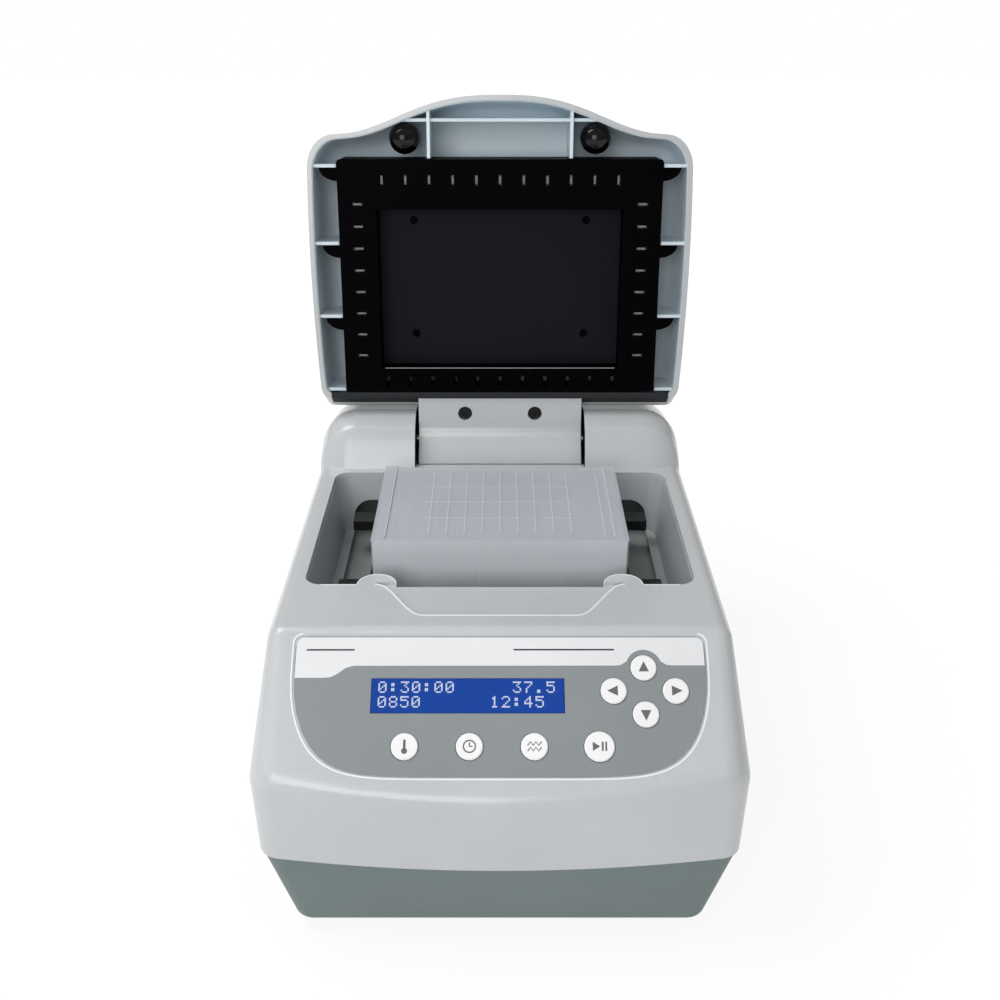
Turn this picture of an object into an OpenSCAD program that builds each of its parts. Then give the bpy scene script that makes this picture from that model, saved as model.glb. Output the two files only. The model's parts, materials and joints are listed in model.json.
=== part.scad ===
// Laboratory thermal mixer: a heated block that orbits in an open well, under a hinged hot lid.
// Millimetres. The origin is at bench level under the middle of the body.
// X runs to the right, Y to the rear and Z up; the control panel faces -Y.
// Lid pieces are drawn shut and then swung open about the hinge line, as the lid stands at rest.

/* [Casing] */
// Widest width of the body, at the belt line
casing_w = 222; // [216:1:236]
// Height of the belt line
belt_z = 75; // [70:1:80]
// Width at the seam between upper and lower casing
seam_w = 215; // [208:1:220]
// Height of the seam
seam_z = 44; // [38:1:50]
// Width of the deck at its rounded edge
deck_w = 212; // [208:1:216]
// Height of the deck, which is the rim of the well
deck_z = 128; // [124:1:136]
// Distance from the origin to the front at the seam
front_reach = 150.4; // [148:0.2:156]
// Distance from the origin to the nose, where panel and front meet
nose_reach = 148; // [144:0.5:150]
// Distance from the origin to the bend between deck and panel
bend_reach = 86.8; // [80:0.2:88]
// Distance from the origin to the rear face
rear_reach = 147; // [144:1:152]
// How far the front bows back towards its corners
front_bow = 7.2; // [3:0.2:10]
// Wall of the casings
wall = 2.5; // [1.5:0.1:3]
// Edge radius of the nose
nose_r = 8; // [5:0.5:12]
// Radius of the nose at its two corners
corner_r = 14; // [9:0.5:18]
// Edge radius of the deck
deck_r = 8; // [5:0.5:12]
// Corner radius of the rear
rear_r = 12; // [8:0.5:20]
// Corner radius of the front at the seam
seam_r = 11; // [6:0.5:16]
// Width of the lower casing at its bottom
base_w = 189; // [180:1:200]
// Distance from the origin to the lower casing's bottom front edge
base_reach = 143; // [138:0.5:146]
// Step back of the lower casing under the seam
seam_step = 0.9; // [0.3:0.1:2]
// Shadow gap of the seam
seam_gap = 0.3; // [0.1:0.05:0.6]
// Height of the rubber feet
foot_h = 8; // [5:0.5:12]
// Radius of a rubber foot
foot_r = 9; // [6:0.5:12]
// Distance between left and right feet
foot_span = 140; // [110:2:150]
// Distance between front and rear feet
foot_pitch = 224; // [190:2:236]
// Height of the bosses that carry the chassis plate
boss_h = 17.5; // [14:0.5:20]

/* [Control panel] */
// Slope of the control panel
panel_slope = 38; // [34:0.5:42]
// Depth of the pocket for the panel film
film_pocket = 0.9; // [0.6:0.1:1.2]
// Thickness of the panel film
film_t = 0.6; // [0.3:0.1:0.8]
// Width of the panel film at its top edge
film_w = 183; // [176:1:188]
// Length of the panel film down the slope
film_l = 62.5; // [58:0.5:64]
// Distance from the bend to the panel film
film_top = 4; // [3:0.5:6]
// Length of the film's straight sides
film_side = 16; // [10:0.5:24]
// How square the film's swept lower end is
film_square = 7; // [3:0.5:9]
// Radius of the film's upper corners
film_top_r = 5; // [2:0.5:8]
// Gap around pieces that lie in pockets
seat_gap = 0.2; // [0.1:0.05:0.4]
// Width of the display window
display_w = 85; // [78:0.5:88]
// Height of the display window down the slope
display_h = 15.4; // [13:0.2:17]
// Sideways place of the display window's centre
display_x = -14.2; // [-18:0.2:-10]
// Distance from the bend to the display window's centre
display_t = 31.2; // [30:0.2:33]
// Radius of an arrow key
arrow_r = 5.8; // [4.5:0.1:6.4]
// Radius of a function key
function_r = 5.9; // [4.5:0.1:6.4]
// Radius of the run key at the right
run_r = 6.6; // [5:0.1:7]
// Key travel
key_travel = 0.6; // [0.3:0.05:0.9]
// Gap around a key
key_gap = 0.3; // [0.2:0.05:0.5]
// Height of a key above the film
key_proud = 0.8; // [0.4:0.1:1.4]
// Sideways place of the arrow cross
arrow_x = 63.8; // [62:0.2:66]
// Distance from the bend to the arrow cross
arrow_t = 29.1; // [28:0.2:31]
// Half width of the arrow cross
arrow_dx = 13.7; // [12.5:0.1:14.5]
// Half height of the arrow cross
arrow_dt = 10.5; // [9.5:0.1:12]
// Sideways place of the first function key
function_x = -41.3; // [-44:0.2:-38]
// Distance between function keys
function_pitch = 28.1; // [26:0.1:29]
// Distance from the bend to the function keys
function_t = 53.7; // [52.5:0.2:55]

/* [Well] */
// Width of the well at its rim
well_w = 188.8; // [184:0.4:192]
// Distance from the origin to the well's front edge
well_front = 49; // [46:0.5:52]
// Distance from the origin to the well's rear edge
well_back = 75; // [72:0.5:76]
// Height of the ledge at the bottom of the well
ledge_z = 95; // [93:0.5:98]
// Lean of the well's side walls over their height
side_draft = 4.6; // [2:0.2:5]
// Lean of the well's rear wall over its height
rear_draft = 7.5; // [4:0.5:9]
// Lean of the well's front wall over its height
front_draft = 3; // [1:0.5:5]
// Corner radius of the well
well_r = 8; // [5:0.5:11]
// Wall of the well liner
liner_t = 2; // [1.5:0.1:2.5]
// Width of the opening in the ledge
opening_w = 169.6; // [168:0.4:172]
// Height of the opening's arch in the rear wall
opening_top_z = 112; // [108:0.5:116]
// Radius of the screw bosses at the front of the well
boss_r = 9.6; // [7:0.2:11]
// Distance between the screw bosses
boss_span = 118.8; // [112:0.4:124]
// Height of the screw bosses
boss_drop = 12; // [8:0.5:14]
// Depth of the finger recess in the deck
recess_t = 0.8; // [0.4:0.1:1.2]
// Half width of the finger recess at the well
recess_wide = 58.7; // [54:0.5:62]
// Half width of the finger recess at its front
recess_narrow = 33; // [28:0.5:38]
// Length of the finger recess from the well
recess_l = 27.4; // [22:0.2:29]

/* [Hinge] */
// Height of the hinge line above the deck
hinge_rise = 8.6; // [8:0.1:10]
// Distance of the hinge line behind the well
hinge_back = 29.6; // [29:0.1:32]
// Angle of the lid when it stands open
lid_open = 97.3; // [90:0.1:100]
// Radius of the shoulders about the hinge line
shoulder_r = 17.8; // [16:0.1:18]
// Width of the slot for the hinge knuckle
slot_w = 98.8; // [90:0.4:104]
// Gap between the knuckle and each shoulder
knuckle_gap = 1.8; // [1:0.1:2.4]
// Radius of the hinge knuckle
knuckle_r = 20; // [18:0.2:20.4]
// Room between the knuckle and its trough
trough_gap = 1.4; // [0.8:0.1:2]
// Radius of the hinge pins
pin_r = 3; // [2:0.1:4]
// Running clearance of pins and cranks
run_gap = 0.05; // [0.02:0.01:0.08]
// Length of a hinge pin
pin_l = 19; // [16:0.5:24]

/* [Lid] */
// Width of the lid at its middle
lid_w = 212; // [208:1:214]
// Narrowing of the lid towards the rear, per side
lid_taper = 2.6; // [1:0.2:4]
// Gap between lid rim and deck when shut
rim_gap = 0.8; // [0.5:0.1:1.5]
// Gap between the shut lid and the shoulders
rear_gap = 2.2; // [1.6:0.1:3]
// Height of the lid above its rim
lid_h = 36; // [34:0.5:42]
// Distance from the origin to the front edge beside the arch
lid_front = 72.5; // [70:0.5:74]
// How far the arch stands ahead of that edge
arch_h = 16.1; // [10:0.5:17]
// Half width of the arch
arch_w = 84; // [76:1:88]
// Wall of the lid
lid_wall = 2.6; // [2:0.1:3]
// Rib thickness in the lid
rib_t = 1.8; // [1.2:0.1:2.4]
// Radius of a ball bumper
ball_r = 8.4; // [6:0.2:8.6]
// Distance between the ball bumpers
ball_span = 104.6; // [98:0.4:108]
// Distance from the origin to the ball bumpers
ball_front = 66.2; // [65:0.1:69]
// Radius of a bumper stem
stem_r = 3.5; // [2.5:0.1:4.5]

/* [Hot lid] */
// Width of the slotted frame
frame_w = 178.6; // [172:0.4:182]
// Distance from the origin to the frame's front side
frame_front = 55.5; // [54.5:0.5:57]
// Height of the frame
frame_h = 26; // [22:0.5:28]
// Wall of the frame
frame_t = 2.4; // [1.6:0.1:3]
// Depth of the hot plate behind the frame's face
plate_depth = 13.5; // [12.5:0.1:15]
// Thickness of the hot plate
plate_t = 3; // [2:0.2:4]
// Room around the rack in the frame's window, sideways
window_gap_x = 4.2; // [3.4:0.1:5]
// Room around the rack in the frame's window, front and rear
window_gap_y = 2; // [1.7:0.1:2.4]
// Length of a vent slot
slot_l = 6; // [4:0.5:7]
// Width of a vent slot
slot_t = 2; // [1:0.1:2.6]
// Distance between vent slots
slot_pitch = 13; // [12:0.1:13.4]

/* [Block and rack] */
// Length of the microplate footprint, sideways
rack_w = 127.8; // [127:0.1:128.4]
// Depth of the microplate footprint
rack_d = 85.5; // [85:0.1:86]
// Height of the rack's top above the deck
rack_rise = 11.9; // [10:0.1:12.4]
// Wall of the rack
rack_wall = 1.4; // [1:0.1:2]
// Corner radius of the rack
rack_r = 2; // [1.6:0.2:6]
// Depth of the rack's grid of cells
cell_h = 24; // [12:1:30]
// Pitch of the rack's cells
cell_pitch = 9; // [8.8:0.1:9.1]
// Wall of the rack's cells
cell_t = 0.8; // [0.5:0.1:1.2]
// Height of the heated block's top
block_top_z = 100.2; // [99:0.2:102]
// Thickness of the heated block
block_t = 8; // [6:0.5:9]
// Gap between rack and cradle
rack_gap = 0.6; // [0.3:0.05:0.9]
// Wall of the black cradle
cradle_t = 2.6; // [2:0.1:4]
// Height of the cradle's top above the ledge
cradle_rise = 16; // [12:0.5:18]
// Reach of the cradle's ears from its centre
ear_reach = 82.5; // [76:0.5:83]
// Width of an ear
ear_w = 11; // [8:0.5:14]
// Thickness of an ear
ear_t = 6; // [3:0.5:8]
// Distance of the ears from the centre line
ear_y = 37; // [30:0.5:40]

/* [Shaker drive] */
// Radius of the orbit
orbit_r = 1.5; // [1:0.1:1.6]
// Height of the platform's top
platform_z = 90; // [88:0.5:91]
// Thickness of the platform
platform_t = 4; // [3:0.5:5]
// Width of the platform
platform_w = 180; // [172:1:184]
// Depth of the platform
platform_d = 140; // [130:1:144]
// Height of the chassis plate's top
chassis_z = 30; // [28:0.5:32]
// Thickness of the chassis plate
chassis_t = 2.5; // [1.5:0.1:3]
// Radius of the motor
motor_r = 21; // [16:0.5:24]
// Height of the motor
motor_h = 26; // [20:0.5:27]
// Radius of the crank shaft
shaft_r = 4; // [3:0.1:5]
// Radius of the crank pin
crank_pin_r = 5; // [4:0.1:6]
// Outer radius of the main bearing
bearing_r = 13; // [10:0.5:15]
// Height of the main bearing
bearing_h = 9; // [7:0.5:10]
// Radius of the counterweight
weight_r = 30; // [24:1:34]
// Sideways distance between the idler cranks
idler_span = 130; // [110:2:140]
// Front to rear distance between the idler cranks
idler_pitch = 96; // [84:2:104]
// Radius of an idler crank's journals
idler_r = 3; // [2.4:0.1:4]
// Radius of the idler posts and bosses
post_r = 7; // [5.5:0.5:9]

/* [Rear] */
// Width of the mains inlet's opening
inlet_w = 27.4; // [24:0.2:30]
// Height of the mains inlet's opening
inlet_h = 19.8; // [18:0.2:24]
// Sideways place of the mains inlet
inlet_x = 66; // [58:1:70]
// Height of the mains inlet and the switch
inlet_z = 66; // [62:1:70]
// Sideways distance from inlet to switch
switch_dx = 34; // [30:0.5:40]
// Gap between the power supply and the rear wall
supply_gap = 12.5; // [10:0.5:16]
// Width of the power switch's opening
switch_w = 13; // [11:0.5:16]
// Height of the power switch's opening
switch_h = 19.4; // [16:0.2:24]
// Swing of the rocker to each side
rocker_swing = 7; // [4:0.5:9]
// Size of the cooling fan
fan_w = 50; // [40:1:56]
// Sideways place of the cooling fan
fan_x = -52; // [-58:1:-48]
// Number of vent slots in the rear wall
vent_n = 7; // [3:1:9]

/* [Hidden] */

// Colours as on the real object.
casing_grey = [0.82, 0.82, 0.81];
base_green = [0.42, 0.46, 0.45];
liner_grey = [0.60, 0.63, 0.64];
inner_blue = [0.62, 0.66, 0.69];
soft_black = [0.06, 0.06, 0.07];

// Places that follow from the sizes above.
eps = 0.05;
far = 400;
hinge_y = well_back + hinge_back;
hinge_z = deck_z + hinge_rise;
slope_run = cos(panel_slope);
slope_drop = sin(panel_slope);
rim_z = deck_z + rim_gap;
lid_top_z = rim_z + lid_h;
frame_back = well_back - 0.6;
block_y = (well_back - well_front) / 2 + 2.75;
rack_top_z = deck_z + rack_rise;
rack_bottom_z = block_top_z + 0.05;
cradle_top_z = ledge_z + cradle_rise;
film_skin = 2;
stations = [0, 35, 65, 88];
sides = [-1, 1];

// Bow of the front, measured back from its foremost point.
function bow(x) = front_bow * pow(x / 97.5, 2);

// Height of the control panel's plane at a distance ahead of the origin.
function panel_z(reach) = deck_z - (reach - bend_reach) * tan(panel_slope);

// Centre of a ball that touches both the panel and the front, as [y, z].
function nose_centre(x, r) =
  let (reach = nose_reach - bow(x))
  [-reach + 0.93 * r, panel_z(reach) - 0.46 * r];

// Centre of a ball that touches both deck and panel.
function bend_centre(r) = -bend_reach + r * tan(panel_slope / 2);

module on_panel(x, t, h = 0)
  translate([x, -bend_reach - t * slope_run, deck_z - t * slope_drop])
    rotate([panel_slope, 0, 0])
      translate([0, 0, h])
        children();

// Turns a lid piece, drawn shut, to the angle at which the lid stands.
module swing_open()
  translate([0, hinge_y, hinge_z])
    rotate([-lid_open, 0, 0])
      translate([0, -hinge_y, -hinge_z])
        children();

// A bar along X.
module along_x(r, x0, x1)
  translate([x0, 0, 0])
    rotate([0, 90, 0])
      cylinder(r = r, h = x1 - x0, $fn = 64);

module box(low, high)
  translate(low)
    cube(high - low);

// A plate with rounded corners, made of true cylinders and boxes.
module rounded_plate(low, high, r) {
  size = high - low;
  translate(low) {
    translate([r, 0, 0])
      cube([size[0] - 2 * r, size[1], size[2]]);
    translate([0, r, 0])
      cube([size[0], size[1] - 2 * r, size[2]]);
    for (x = [r, size[0] - r], y = [r, size[1] - r])
      translate([x, y, 0])
        cylinder(r = r, h = size[2], $fn = 32);
  }
}

// Outer form of the upper casing up to the deck, or the room inside it when inset.
module casing_form(inset = 0, drop = 0) {
  hull() {
    translate([0, 0, seam_z - drop]) {
      for (side = sides, x = stations)
        translate([side * x, -front_reach + bow(x) + inset + 1, 0])
          cylinder(r = 1, h = 0.2, $fn = 16);
      for (side = sides) {
        translate([side * (seam_w / 2 - seam_r), -front_reach + bow(seam_w / 2 - seam_r) + seam_r, 0])
          cylinder(r = seam_r - inset, h = 0.2, $fn = 40);
        translate([side * (seam_w / 2 - rear_r), rear_reach - rear_r, 0])
          cylinder(r = rear_r - inset, h = 0.2, $fn = 40);
      }
    }
    for (side = sides) {
      for (x = stations) {
        nose = nose_centre(x, nose_r);
        translate([side * x, nose[0], nose[1]])
          sphere(r = nose_r - inset, $fn = 32);
      }
      end_x = casing_w / 2 - corner_r;
      end = nose_centre(end_x, corner_r);
      translate([side * end_x, end[0], end[1]])
        sphere(r = corner_r - inset, $fn = 40);
      translate([side * (casing_w / 2 - rear_r), rear_reach - rear_r, belt_z])
        cylinder(r = rear_r - inset, h = 0.2, $fn = 40);
      for (y = [bend_centre(deck_r), rear_reach - deck_r])
        translate([side * (deck_w / 2 - deck_r), y, deck_z - deck_r])
          sphere(r = deck_r - inset, $fn = 40);
    }
  }
}

// Side view of the shoulders that carry the hinge.
function shoulder_profile() = [
  [lid_rear_y + rear_gap - 2.2, deck_z - 4],
  [hinge_y - 15, hinge_z + 9.4],
  [hinge_y - 8, hinge_z + 14.6],
  [hinge_y, hinge_z + shoulder_r],
  [hinge_y + 9, hinge_z + shoulder_r - 2],
  [rear_reach - 7, hinge_z + 10.5],
  [rear_reach, hinge_z + 4],
  [rear_reach, deck_z - 40],
  [lid_rear_y + rear_gap - 2.2, deck_z - 40]];

// The shoulders as one long hump with rounded ends.
module shoulder_form(inset = 0) {
  ends = [[22, 0], [12, 2.4], [5.5, 8], [2, 17], [0.5, 26]];
  hull()
    for (side = sides, end = ends)
      translate([side * (deck_w / 2 - end[0] - inset), 0, -end[1]])
        rotate([90, 0, 90])
          linear_extrude(0.1)
            offset(delta = -inset)
              polygon(shoulder_profile());
}

// Room for the hinge knuckle, or the skin around that room when grown.
module knuckle_room(grow = 0) {
  half = slot_w / 2 + grow;
  lip = norm(knuckle_lip) + trough_gap / 2;
  translate([0, hinge_y, hinge_z])
    along_x(knuckle_r + trough_gap + grow, -half, half);
  // The knuckle's front lip swings through here, just above the deck.
  box([-half, hinge_y - lip - grow, deck_z + 0.3 - grow],
      [half, hinge_y + knuckle_r + 6 + grow, hinge_z + 60]);
}

// Prism of the well at its rim.
module well_prism(low, high, inset = 0)
  rounded_plate([-well_w / 2 + inset, -well_front + inset, low],
                [well_w / 2 - inset, well_back - inset, high], well_r - inset);

// Half width of the panel film at an angle along its swept lower end, and the distance down to there.
function film_sweep(angle) = [film_w / 2 * pow(cos(angle), 2 / film_square),
                              -film_side - (film_l - film_side) * sin(angle)];

// Outline of the panel film: straight sides that sweep round into a nearly straight lower edge.
module film_outline(grow = 0) {
  right = concat([for (a = [90 : -15 : 0])
                   [film_w / 2 - film_top_r * (1 - cos(a)), film_top_r * (sin(a) - 1)]],
                 [for (a = [0, 12, 24, 36, 46, 54, 61, 67, 72, 76, 80, 84, 87, 89]) film_sweep(a)]);
  offset(delta = grow)
    polygon(concat(right, [for (i = [len(right) - 1 : -1 : 0]) [-right[i][0], right[i][1]]]));
}

// Outline of the finger recess, whose sides sweep in towards the front.
module recess_outline() {
  steps = 10;
  sweep = [for (i = [0 : steps])
    let (u = i / steps)
    [recess_narrow + (recess_wide - recess_narrow) * (1 + cos(180 * u)) / 2, -recess_l * u]];
  polygon(concat([for (p = sweep) [p[0], p[1] * 0.98]],
                 [for (i = [steps : -1 : 0]) [-sweep[i][0], sweep[i][1] * 0.98]],
                 [[-recess_wide, 2], [recess_wide, 2]]));
}

// Each key as [x, t, radius].
key_up_at = [arrow_x, arrow_t - arrow_dt, arrow_r];
key_down_at = [arrow_x, arrow_t + arrow_dt, arrow_r];
key_left_at = [arrow_x - arrow_dx, arrow_t, arrow_r];
key_right_at = [arrow_x + arrow_dx, arrow_t, arrow_r];
key_f1_at = [function_x, function_t, function_r];
key_f2_at = [function_x + function_pitch, function_t, function_r];
key_f3_at = [function_x + 2 * function_pitch, function_t, function_r];
key_run_at = [function_x + 3 * function_pitch, function_t, run_r];
keys = [key_up_at, key_down_at, key_left_at, key_right_at, key_f1_at, key_f2_at, key_f3_at, key_run_at];

module key_holes(low, high, grow)
  for (k = keys)
    on_panel(k[0], k[1], low)
      cylinder(r = k[2] + grow, h = high - low, $fn = 48);

module display_hole(low, high, grow)
  on_panel(display_x, display_t, 0)
    box([-display_w / 2 - grow, -display_h / 2 - grow, low],
        [display_w / 2 + grow, display_h / 2 + grow, high]);

// Rear wall cut-outs share these places.
module inlet_hole(grow = 0)
  box([inlet_x - inlet_w / 2 - grow, rear_reach - 12, inlet_z - inlet_h / 2 - grow],
      [inlet_x + inlet_w / 2 + grow, rear_reach + 10, inlet_z + inlet_h / 2 + grow]);

switch_x = inlet_x - switch_dx;

module switch_hole(grow = 0)
  box([switch_x - switch_w / 2 - grow, rear_reach - 12, inlet_z - switch_h / 2 - grow],
      [switch_x + switch_w / 2 + grow, rear_reach + 10, inlet_z + switch_h / 2 + grow]);

fan_z = inlet_z + 4;
vent_pitch = (fan_w - 8) / max(vent_n - 1, 1);

module rear_vents()
  for (i = [0 : vent_n - 1])
    box([fan_x - fan_w / 2 + 2 + i * vent_pitch, rear_reach - 12, fan_z - fan_w / 2 + 4],
        [fan_x - fan_w / 2 + 5 + i * vent_pitch, rear_reach + 2, fan_z + fan_w / 2 - 4]);

module finger_recess()
  translate([0, 0, deck_z - recess_t])
    linear_extrude(5)
      translate([0, -well_front])
        recess_outline();

// Round bosses that stand half in the deck and half in the well, or the room for them when grown.
module screw_bosses(grow = 0, over = 0)
  for (side = sides)
    translate([side * boss_span / 2, -well_front, deck_z - boss_drop - grow])
      cylinder(r = boss_r + grow, h = boss_drop + grow + over, $fn = 48);

module deck_bosses() {
  color(casing_grey)
    difference() {
      screw_bosses();
      finger_recess();
      // Screw holes from below.
      for (side = sides)
        translate([side * boss_span / 2, -well_front, deck_z - boss_drop - 1])
          cylinder(r = 1.6, h = boss_drop - 2, $fn = 24);
    }
}

module upper_casing() {
  color(casing_grey)
    difference() {
      difference() {
        union() {
          casing_form();
          shoulder_form();
        }
        difference() {
          union() {
            casing_form(wall, 1);
            shoulder_form(wall);
          }
          knuckle_room(wall);
        }
        well_prism(ledge_z, deck_z + 5);
        knuckle_room();
      }
      screw_bosses(0.02, 5);
      finger_recess();
      on_panel(0, film_top, -film_pocket)
        linear_extrude(5)
          film_outline(seat_gap);
      key_holes(-8, 2, key_gap);
      display_hole(-8, 2, 1);
      translate([0, hinge_y, hinge_z])
        along_x(pin_r + 0.3, -slot_w / 2 - 8, slot_w / 2 + 8);
      inlet_hole(seat_gap);
      switch_hole(seat_gap);
      rear_vents();
    }
}

base_r = 10;

// Outer form of the lower casing, or the room inside it when inset.
module tray_form(inset = 0, low = foot_h, high = seam_z - seam_gap) {
  shift = inset + seam_step;
  hull() {
    translate([0, 0, high - 0.2]) {
      for (side = sides, x = stations)
        translate([side * x, -front_reach + bow(x) + shift + 1, 0])
          cylinder(r = 1, h = 0.2, $fn = 16);
      for (side = sides) {
        translate([side * (seam_w / 2 - seam_r), -front_reach + bow(seam_w / 2 - seam_r) + seam_r, 0])
          cylinder(r = seam_r - shift, h = 0.2, $fn = 40);
        translate([side * (seam_w / 2 - rear_r), rear_reach - rear_r, 0])
          cylinder(r = rear_r - shift, h = 0.2, $fn = 40);
      }
    }
    for (side = sides, y = [-base_reach + base_r, rear_reach - 4 - base_r])
      translate([side * (base_w / 2 - base_r), y, low])
        cylinder(r = base_r - inset, h = 0.2, $fn = 40);
  }
}

tray_floor = wall;
boss_places = [for (y = [-well_front + 1, well_back + 9], x = sides) [x * (base_w / 2 - 10.5), y]];
baffle_y = well_back + 9.5;
supply_front = baffle_y + 13.5;
supply_back = rear_reach - wall - supply_gap;

module lower_casing() {
  color(base_green)
    difference() {
      union() {
        difference() {
          tray_form();
          tray_form(wall, foot_h + tray_floor, seam_z + 1);
        }
        for (p = boss_places)
          translate([p[0], p[1], foot_h + tray_floor - 0.5])
            cylinder(r = 5, h = boss_h + 0.5 - 0.5, $fn = 32);
      }
      for (p = boss_places)
        translate([p[0], p[1], foot_h - 1])
          cylinder(r = 1.7, h = boss_h + 12, $fn = 24);
      // Cooling slots under the power supply.
      for (i = [0 : 5])
        box([12 + i * 8, supply_front + 2, foot_h - 1],
            [15 + i * 8, supply_back - 4, foot_h + tray_floor + 1]);
    }
}

foot_places = [for (x = sides, y = sides) [x * foot_span / 2, y * foot_pitch / 2]];

module rubber_feet() {
  color([0.1, 0.1, 0.1])
    for (p = foot_places)
      translate([p[0], p[1], 0])
        rotate_extrude($fn = 48)
          polygon([[0, 0], [foot_r - 1.2, 0], [foot_r, 1.2], [foot_r, foot_h - 2],
                   [foot_r - 1, foot_h], [0, foot_h]]);
}

module casing_screws() {
  color([0.35, 0.35, 0.36])
    for (p = boss_places)
      translate([p[0], p[1], foot_h - 2])
        union() {
          cylinder(r = 3.2, h = 1.9, $fn = 32);
          cylinder(r = 1.55, h = boss_h + 6, $fn = 24);
        }
}

// Leaning walls of the well, as a solid block that is later hollowed.
module liner_form(inset, low, high) {
  rise = deck_z - ledge_z;
  function lean(z) = (deck_z - z) / rise;
  hull()
    for (z = [low, high - 0.2], side = sides) {
      k = lean(z);
      half = well_w / 2 - side_draft * k - inset;
      front = -well_front + front_draft * k + inset;
      back = well_back - rear_draft * k - inset;
      r = well_r - inset;
      for (y = [front + r, back - r])
        translate([side * (half - r), y, z])
          cylinder(r = r, h = 0.2, $fn = 32);
    }
}

liner_top = deck_z - wall - 0.05;
arch_r = 10;

module well_liner() {
  color(liner_grey)
    difference() {
      union() {
        liner_form(-liner_t, ledge_z - liner_t, liner_top);
        // Flange that hangs the liner under the deck.
        rounded_plate([-well_w / 2 - 3.6, -well_front - 3.6, liner_top - 2],
                      [well_w / 2 + 3.6, well_back + 3.6, liner_top], well_r + 3.6);
      }
      liner_form(0, ledge_z, deck_z + 4);
      // Opening for the block, which runs up the rear wall as an arch.
      rounded_plate([-opening_w / 2, -well_front + front_draft + 5, ledge_z - 9],
                    [opening_w / 2, well_back + 9, ledge_z + 1], 6);
      box([-opening_w / 2, 40, ledge_z - 9], [opening_w / 2, well_back + 9, opening_top_z - arch_r]);
      box([-opening_w / 2 + arch_r, 40, ledge_z], [opening_w / 2 - arch_r, well_back + 9, opening_top_z]);
      for (side = sides)
        translate([side * (opening_w / 2 - arch_r), 40, opening_top_z - arch_r])
          rotate([-90, 0, 0])
            cylinder(r = arch_r, h = well_back - 31, $fn = 48);
      screw_bosses(0.3, 8);
    }
}

chassis_x = base_w / 2 - 2.5;

module rear_baffle() {
  color(base_green)
    union() {
      box([-chassis_x, baffle_y, chassis_z + 0.05], [chassis_x, baffle_y + 1.5, deck_z - 12]);
      box([-chassis_x, baffle_y, chassis_z + 0.05], [chassis_x, baffle_y + 10, chassis_z + 1.6]);
    }
}

module panel_film() {
  color([0.56, 0.58, 0.59])
    difference() {
      on_panel(0, film_top, -film_pocket + 0.02)
        linear_extrude(film_t)
          film_outline();
      key_holes(-3, 2, key_gap);
      display_hole(-3, 2, seat_gap);
    }
}

window_t = 1.4;

module display_window() {
  color([0.12, 0.28, 0.75])
    display_hole(-film_pocket + film_t - window_t + 0.1, -film_pocket + film_t + 0.1, 0);
}

module display_module() {
  color([0.1, 0.35, 0.2])
    on_panel(display_x, display_t, 0) {
      difference() {
        union() {
          box([-display_w / 2 - 6, -display_h / 2 - 7, -9.4], [display_w / 2 + 6, display_h / 2 + 7, -7.8]);
          box([-display_w / 2 - 2.4, -display_h / 2 - 2.4, -7.9],
              [display_w / 2 + 2.4, display_h / 2 + 2.4, -3.4]);
        }
        for (x = [-1, 1], y = [-1, 1])
          translate([x * (display_w / 2 + 3.6), y * (display_h / 2 + 4.6), -10])
            cylinder(r = 1.3, h = 4, $fn = 24);
      }
    }
}

board_h = 11.6;

module key_board() {
  color([0.08, 0.3, 0.15])
    difference() {
      union() {
        on_panel(0, 0, -board_h - 1.6)
          box([-film_w / 2 + 7.5, -film_top - film_l + 4.5, 0], [film_w / 2 - 7.5, -film_top - 7, 1.6]);
        // Switch bodies, and pillars that carry the board under the panel.
        for (k = keys)
          on_panel(k[0], k[1], -board_h - 0.1)
            box([-3, -3, 0], [3, 3, 3]);
        for (x = [-80, 34], t = [14, 59])
          on_panel(x, t, -board_h - 0.1)
            cylinder(r = 2.6, h = board_h - film_pocket - film_skin - 0.1, $fn = 32);
      }
      on_panel(display_x, display_t, -board_h - 3)
        box([-display_w / 2 - 7, -display_h / 2 - 8, 0], [display_w / 2 + 7, display_h / 2 + 8, 6]);
    }
}

crank_x = -orbit_r;
idler_places = [for (x = sides, y = sides) [x * idler_span / 2 - orbit_r, block_y + y * idler_pitch / 2]];
post_top = 58;

module chassis_plate() {
  color([0.72, 0.73, 0.75])
    difference() {
      union() {
        rounded_plate([-chassis_x, -well_front - 9, chassis_z - chassis_t],
                      [chassis_x, baffle_y + 11.5, chassis_z], 6);
        for (p = idler_places)
          translate([p[0], p[1], chassis_z - 0.1])
            cylinder(r = post_r, h = post_top - chassis_z + 0.1, $fn = 48);
      }
      for (p = idler_places)
        translate([p[0], p[1], chassis_z + 8])
          cylinder(r = idler_r + run_gap, h = post_top, $fn = 48);
      translate([crank_x, block_y, chassis_z - 5])
        cylinder(r = 12, h = 10, $fn = 48);
      for (p = boss_places)
        translate([p[0], p[1], chassis_z - 5])
          cylinder(r = 1.7, h = 10, $fn = 24);
    }
}

motor_top = chassis_z + 0.05 + motor_h;

module drive_motor() {
  color([0.25, 0.26, 0.28])
    translate([crank_x, block_y, chassis_z + 0.05])
      difference() {
        union() {
          cylinder(r = motor_r, h = motor_h, $fn = 72);
          rounded_plate([-motor_r - 4, -motor_r - 4, 0], [motor_r + 4, motor_r + 4, 2.5], 4);
        }
        translate([0, 0, 4])
          cylinder(r = shaft_r + run_gap, h = motor_h, $fn = 48);
        translate([0, 0, motor_h - 1.5])
          difference() {
            cylinder(r = motor_r - 2, h = 2, $fn = 64);
            translate([0, 0, -1])
              cylinder(r = 9, h = 4, $fn = 48);
          }
      }
}

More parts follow.
